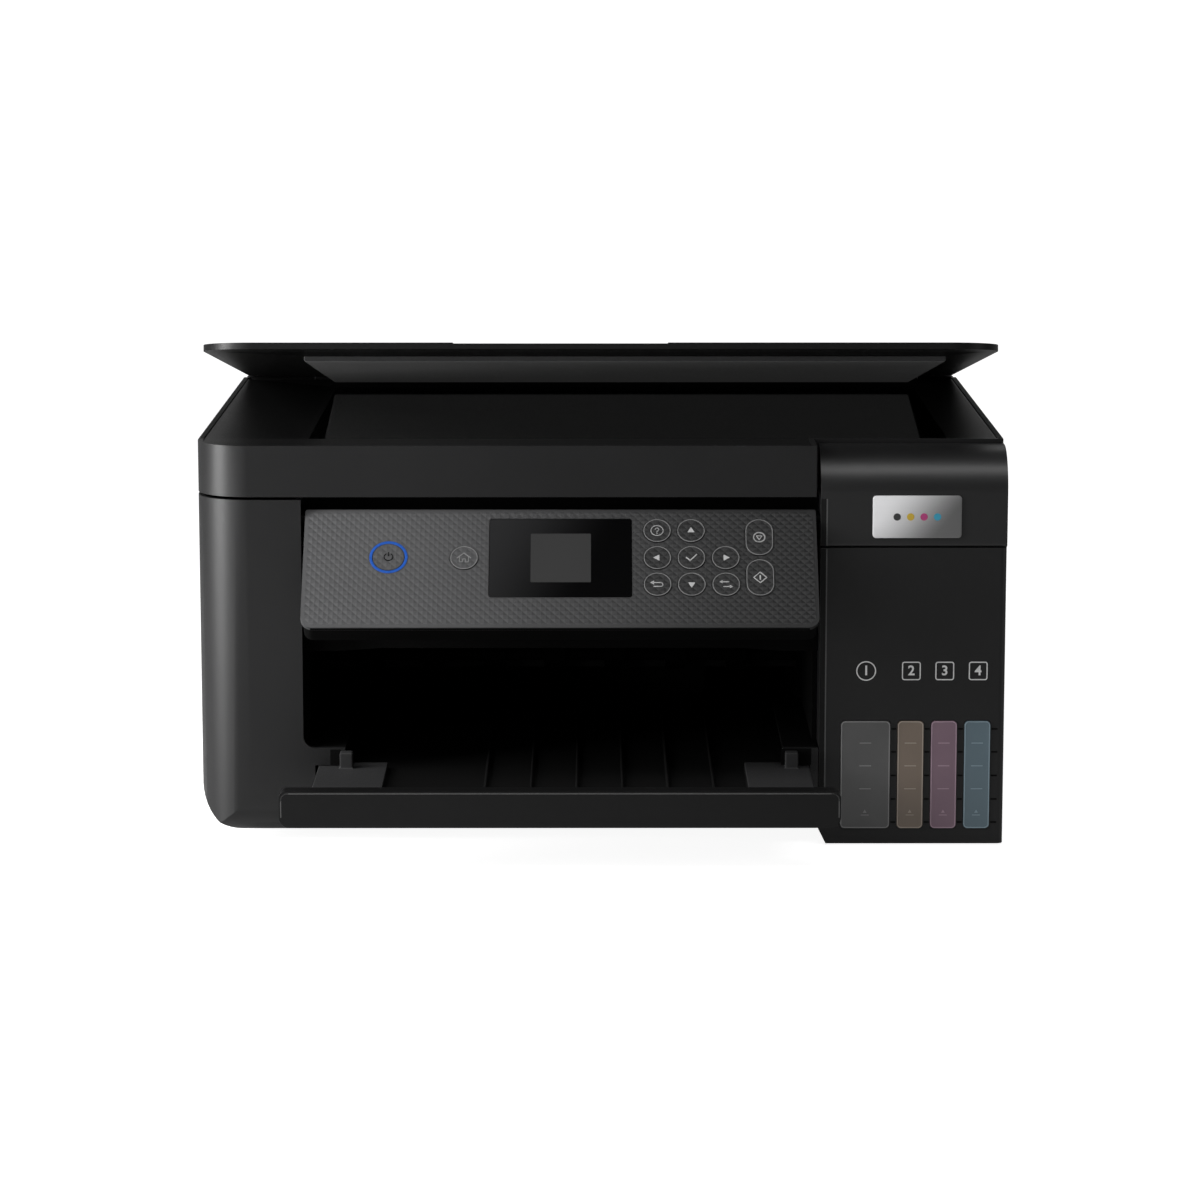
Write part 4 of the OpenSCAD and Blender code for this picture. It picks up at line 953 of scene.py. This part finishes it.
badgeLook = {"left": 125.2, "right": 166.2, "bottom": 145.3, "top": 165.0, "thick": 0.7, "corner": 1.6,
             "edge": 0.2, "dot": 1.7, "pitch": 6.2}
left, right, bottom, top = [badgeLook[side] for side in ("left", "right", "bottom", "top")]
badgeMiddle = ((left + right) / 2 * mm, (bottom + top) / 2 * mm)
badgeThick = badgeLook["thick"] * mm
badge = roundPlate(badgeMiddle, ((right - left) * mm, (top - bottom) * mm), badgeLook["corner"] * mm, -sunk,
                   badgeThick + sunk)
roundEdges(badge, badgeLook["edge"] * mm)
finishPiece(badge, frontSurface, "badgePlate", "tank_cover", "badgeSilver")
for index, finish in enumerate(("capGrey", "capAmber", "capMauve", "capTeal")):
    x = badgeMiddle[0] + (index - 1.5) * badgeLook["pitch"] * mm
    dot = disc((x, badgeMiddle[1]), 2 * badgeLook["dot"] * mm, badgeThick, 0.06 * mm)
    finishPiece(dot, frontSurface, "badgeDot" + str(index + 1), "tank_cover", finish)
print("tank front done")


# painted shade and painted highlights of the front: dark strips where shade falls on the bay's ledges and on
# the tank's chamfered left edge, bright beads where that edge catches the light
trimLook = {
    "ledgeLeft": (-125.9, -120.9, 38.5, 45.8),    # left, right, bottom, top in mm
    "ledgeRight": (83.7, 97.8, 38.5, 46.3),
    "tankStrip": (101.45, 103.9, 9.0, 140.2),
    "tankBead": (103.9, 104.5, 26.0, 140.2),
    "coverStrip": (101.45, 103.9, 141.6, 163.5),
    "coverBead": (103.9, 104.5, 141.6, 163.5),
}
flush, raised = 0.05 * mm, 0.12 * mm   # how far a dark strip and a bright bead stand out


def frontStrip(name, body, finish, proud):
    left, right, bottom, top = [value * mm for value in trimLook[name]]
    strip = roundPlate(((left + right) / 2, (bottom + top) / 2), (right - left, top - bottom), 0.2 * mm,
                       -sunk, sunk + proud, segments=2)
    finishPiece(strip, frontSurface, name, body, finish)


frontStrip("ledgeLeft", "body", "deepBlack", flush)
frontStrip("ledgeRight", "body", "deepBlack", flush)
frontStrip("tankStrip", "body", "edgeShade", flush)
frontStrip("tankBead", "body", "paintedHighlight", raised)
frontStrip("coverStrip", "tank_cover", "edgeShade", flush)
frontStrip("coverBead", "tank_cover", "paintedHighlight", raised)

# painted highlight: a thin bright line round the front of the lip, on its top and sides, where its edge catches
# the light
lipHighlightLook = {"line": 0.5 * mm, "turn": 3.0 * mm, "inset": 0.9 * mm, "foot": 5.0 * mm, "proud": 0.06 * mm}
lipLow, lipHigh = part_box("tray_extension")
lipSurface = Matrix.Translation((0, lipLow[1], 0)) @ upright
line, turn, inset, proud = [lipHighlightLook[key] for key in ("line", "turn", "inset", "proud")]
left, right = lipLow[0] + inset, lipHigh[0] - inset
top, bottom = lipHigh[2] - inset, lipLow[2] + lipHighlightLook["foot"]
parts = [stroke((left + turn, top), (right - turn, top), line, 0, proud),
         stroke((left, bottom), (left, top - turn), line, 0, proud),
         stroke((right, bottom), (right, top - turn), line, 0, proud)]
parts += arc((left + turn, top - turn), turn, 90, 180, line, 0, proud, 6)
parts += arc((right - turn, top - turn), turn, 0, 90, line, 0, proud, 6)
finishPiece(joinPieces(parts), lipSurface, "lipLine", "extension", "paintedHighlight")

# painted shade: a black sheet over the underside of the panel's lower edge, where shade falls
shadeSurface = panelSurface @ Matrix.Translation((0, faceLow.y, 0)) @ upright
shade = roundPlate((faceMiddle.x, (faceLow.z + faceTop) / 2 - 0.25 * mm),
                   (faceSize.x - 9 * mm, faceTop - faceLow.z - 0.9 * mm), 0.2 * mm,
                   -0.05 * mm, 0.1 * mm, segments=2)
finishPiece(shade, shadeSurface, "panelShade", "panel", "deepBlack")

# blank in front of the frame's bare edge at the right end of the bay
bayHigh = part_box("output_bay")[1]
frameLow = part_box("main_frame")[0]
blankLook = {"x": 98.6 * mm, "size": (4.2 * mm, 0.5 * mm), "bottom": 47 * mm, "height": 49 * mm}
blank = roundPlate((blankLook["x"], (bayHigh[1] + frameLow[1]) / 2), blankLook["size"], 0,
                   blankLook["bottom"], blankLook["height"])
finishPiece(blank, None, "bayBlank", "body", "deepBlack")
print("front trim done")


# lid, mat and rim
lidLook = {
    "open": 9.0,            # degrees the lid stands open at rest
    "sheet": 0.25 * mm,     # thickness of the pale sheet under the mat
    "ahead": 0.5 * mm,      # how far its front edge stands out
    "barrel": 4.3 * mm,     # radius of the hinge barrels
    "barrelSpans": ((-186.0, -150.4), (167.4, 186.0)),
    "barrelDepth": (-3.6, 1.7),
    "sealWidth": 2.1 * mm,
    "sealHigh": 0.12 * mm,
    "sealInset": 0.35 * mm,
    "sealFronts": (28.0, 27.0),     # where the left and right painted-shade strips start, mm behind the case's front
    "sealBack": 8 * mm,
}
axisY, axisZ = joints["lid_hinge"]["pos_m"][1:]
lidSurface = (Matrix.Translation((0, axisY, axisZ)) @ Matrix.Rotation(radians(-lidLook["open"]), 4, "X")
              @ Matrix.Translation((0, -axisY, -axisZ)))
matLow, matHigh = boxOn("document_mat", lidSurface)
sheetSize = (matHigh.x - matLow.x - 1.0 * mm, matHigh.y - matLow.y + lidLook["ahead"] - 0.6 * mm)
sheetMiddle = ((matLow.x + matHigh.x) / 2, (matLow.y + matHigh.y) / 2 - lidLook["ahead"] / 2)
matSheet = roundPlate(sheetMiddle, sheetSize, 1.5 * mm, matLow.z - lidLook["sheet"] + 0.05 * mm,
                      lidLook["sheet"])
roundEdges(matSheet, 0.08 * mm)
finishPiece(matSheet, lidSurface, "matSheet", "lid", "matGrey")

for side, (left, right) in zip(("Left", "Right"), lidLook["barrelSpans"]):
    bpy.ops.mesh.primitive_cylinder_add(
        vertices=48, radius=lidLook["barrel"], depth=(right - left) * mm,
        location=((left + right) / 2 * mm, axisY, axisZ), rotation=(0, pi / 2, 0))
    barrel = bpy.context.object
    settle(barrel)
    near, far = (axisY + reach * mm for reach in lidLook["barrelDepth"])
    keep = roundPlate(((left + right) / 2 * mm, (near + far) / 2), ((right - left + 4) * mm, far - near), 0,
                      axisZ + 1.2 * mm, 6 * mm)
    combine(barrel, keep, "INTERSECT")
    dropPiece(keep)
    finishPiece(barrel, None, "hingeBarrel" + side, "scanner", "innerBlack")

# painted shade: thin black strips on the rim's top at both sides, where the lid's shade falls
caseLow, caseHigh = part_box("scanner_case")
back = caseHigh[1] - lidLook["sealBack"]
inset = lidLook["sealWidth"] / 2 + lidLook["sealInset"]
shadePlaces = (caseLow[0] + inset, caseHigh[0] - inset)
for side, x, start in zip(("Left", "Right"), shadePlaces, lidLook["sealFronts"]):
    front = caseLow[1] + start * mm
    shadeStrip = roundPlate((x, (front + back) / 2), (lidLook["sealWidth"], back - front), 0.6 * mm,
                      caseHigh[2] - sunk, lidLook["sealHigh"] + sunk)
    roundEdges(shadeStrip, 0.05 * mm)
    finishPiece(shadeStrip, None, "rimSeal" + side, "scanner", "innerBlack")
print("lid and rim done")


# back: lengths in mm, and a middle is X and height
backLook = {
    "coverMiddle": (20.0, 96.0), "coverSize": (220.0, 78.0), "seam": 0.8,
    "gripFrom": 92, "gripPitch": 3, "gripCount": 4, "gripReach": 14, "gripWidth": 1.2,
    "ventMiddle": (-128.0, 98.0), "ventRows": 9, "ventPitch": 7.0, "ventLength": 44.0,
    "slotHigh": 2.6, "louvreUp": 2.0, "louvreHigh": 1.3,
    "screws": ((-176.0, 30.0), (176.0, 30.0), (-176.0, 134.0), (176.0, 134.0)),
    "screw": 3.2, "cross": 1.7, "crossLine": 0.7,
}
backSurface = (Matrix.Translation((0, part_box("lower_case")[1][1], 0)) @ Matrix.Rotation(pi, 4, "Z") @ upright)


def onBack(piece, name, finish):
    finishPiece(piece, backSurface, name, "body", finish)


coverX, coverZ = [value * mm for value in backLook["coverMiddle"]]
coverWide, coverHigh = [value * mm for value in backLook["coverSize"]]
rearCover = roundPlate((coverX, coverZ), (coverWide, coverHigh), 3 * mm, -0.2 * mm, 0.9 * mm)
roundEdges(rearCover, 0.35 * mm)
onBack(rearCover, "rearCover", "caseDark")
seam = backLook["seam"] * mm
coverSeam = roundFrame((coverX, coverZ), (coverWide + 2 * seam, coverHigh + 2 * seam), 3.8 * mm, seam,
                       -sunk, 0.13 * mm)
onBack(coverSeam, "rearCoverSeam", "deepBlack")
grips = []
for side in (-1, 1):
    for i in range(backLook["gripCount"]):
        x = coverX + side * (backLook["gripFrom"] + backLook["gripPitch"] * i) * mm
        reach = backLook["gripReach"] * mm
        grips.append(stroke((x, coverZ - reach), (x, coverZ + reach), backLook["gripWidth"] * mm,
                            0.6 * mm, 0.5 * mm))
rearGrips = joinPieces(grips)
roundEdges(rearGrips, 0.15 * mm)
onBack(rearGrips, "rearCoverGrips", "caseDark")

ventX, ventZ = backLook["ventMiddle"]
rows, length = backLook["ventRows"], backLook["ventLength"]
slots, louvres = [], []
for row in range(rows):
    z = (ventZ + (row - (rows - 1) / 2) * backLook["ventPitch"]) * mm
    slots.append(roundPlate((ventX * mm, z), (length * mm, backLook["slotHigh"] * mm), 1.2 * mm,
                            -sunk, 0.13 * mm, segments=5))
    louvres.append(roundPlate((ventX * mm, z + backLook["louvreUp"] * mm),
                              ((length + 2) * mm, backLook["louvreHigh"] * mm), 0.6 * mm,
                              -sunk, 0.7 * mm, segments=4))
onBack(joinPieces(slots), "ventSlots", "deepBlack")
ventLouvres = joinPieces(louvres)
roundEdges(ventLouvres, 0.25 * mm)
onBack(ventLouvres, "ventLouvres", "caseBlack")

heads, slots = [], []
cross, crossLine = backLook["cross"] * mm, backLook["crossLine"] * mm
for screwX, screwZ in backLook["screws"]:
    x, z = screwX * mm, screwZ * mm
    heads.append(disc((x, z), 2 * backLook["screw"] * mm, -0.2 * mm, 0.9 * mm))
    slots.append(stroke((x - cross, z), (x + cross, z), crossLine, 0.65 * mm, 0.1 * mm))
    slots.append(stroke((x, z - cross), (x, z + cross), crossLine, 0.65 * mm, 0.1 * mm))
screwHeads = joinPieces(heads)
roundEdges(screwHeads, 0.3 * mm)
onBack(screwHeads, "backScrews", "sheetSteel")
onBack(joinPieces(slots), "backScrewSlots", "deepBlack")
print("back done")


# floor and backdrop
studioLook = {"width": 8.0, "front": -4.0, "back": 2.6, "height": 4.0, "bend": 1.0, "glowNear": 0.92,
              "glowFrom": 0.2, "glowTo": 1.4, "mirrored": 0.18, "plain": 0.4, "lit": 0.45}


def studioFinish():
    material = bpy.data.materials.new("studioWhite")
    material.use_nodes = True
    tree = material.node_tree
    tree.nodes.clear()
    output = addNode(tree, "OutputMaterial", (600, 0))
    paths = addNode(tree, "LightPath", (-600, 300))
    mirrored = addNode(tree, "Math", (-400, 150), operation="MAXIMUM")
    dimmed = addNode(tree, "Math", (-250, 150), operation="MULTIPLY")
    setInputs(dimmed, {1: studioLook["mirrored"]})
    seen = addNode(tree, "Math", (-100, 300), operation="MAXIMUM")
    plain = addNode(tree, "BsdfDiffuse", (-200, 0))
    setInputs(plain, {"Color": toColor(studioLook["plain"])})
    shadow = addNode(tree, "BsdfDiffuse", (-200, -150))
    setInputs(shadow, {"Color": toColor(studioLook["lit"])})
    coords = addNode(tree, "TexCoord", (-900, -500))
    split = addNode(tree, "SeparateXYZ", (-700, -500))
    rise = addNode(tree, "MapRange", (-500, -500))
    setInputs(rise, {"From Min": studioLook["glowFrom"], "From Max": studioLook["glowTo"],
                     "To Min": studioLook["glowNear"], "To Max": 1.0})
    tree.links.new(coords.outputs["Object"], split.inputs["Vector"])
    tree.links.new(split.outputs["Y"], rise.inputs["Value"])
    glow = addNode(tree, "Emission", (-200, -300))
    tree.links.new(rise.outputs["Result"], glow.inputs["Strength"])
    white = addNode(tree, "AddShader", (50, -200))
    choose = addNode(tree, "MixShader", (300, 0))
    link = tree.links.new
    link(paths.outputs["Is Glossy Ray"], mirrored.inputs[0])
    link(paths.outputs["Is Transmission Ray"], mirrored.inputs[1])
    link(mirrored.outputs["Value"], dimmed.inputs[0])
    link(paths.outputs["Is Camera Ray"], seen.inputs[0])
    link(dimmed.outputs["Value"], seen.inputs[1])
    link(shadow.outputs["BSDF"], white.inputs[0])
    link(glow.outputs["Emission"], white.inputs[1])
    link(seen.outputs["Value"], choose.inputs["Fac"])
    link(plain.outputs["BSDF"], choose.inputs[1])
    link(white.outputs["Shader"], choose.inputs[2])
    link(choose.outputs["Shader"], output.inputs["Surface"])
    return material


bpy.ops.mesh.primitive_plane_add(size=1, location=(0, (studioLook["front"] + studioLook["back"]) / 2, 0))
sweep = bpy.context.object
sweep.scale = (studioLook["width"], studioLook["back"] - studioLook["front"], 1)
settle(sweep)
bpy.ops.object.mode_set(mode="EDIT")
bpy.ops.mesh.select_all(action="DESELECT")
bpy.ops.object.mode_set(mode="OBJECT")
for edge in sweep.data.edges:
    edge.select = all(sweep.data.vertices[i].co.y > studioLook["back"] - 0.01 for i in edge.vertices)
bpy.ops.object.mode_set(mode="EDIT")
bpy.ops.mesh.select_mode(type="EDGE")
bpy.ops.mesh.extrude_region_move(TRANSFORM_OT_translate={"value": (0, 0, studioLook["height"])})
bpy.ops.object.mode_set(mode="OBJECT")
for edge in sweep.data.edges:
    edge.select = all(sweep.data.vertices[i].co.y > studioLook["back"] - 0.01
                      and sweep.data.vertices[i].co.z < 0.01 for i in edge.vertices)
bpy.ops.object.mode_set(mode="EDIT")
bpy.ops.mesh.bevel(offset=studioLook["bend"], segments=16, affect="EDGES")
bpy.ops.object.mode_set(mode="OBJECT")
bpy.ops.object.shade_smooth()
sweep.name = "studioSweep"
sweep.data.materials.append(studioFinish())
print("studio done")
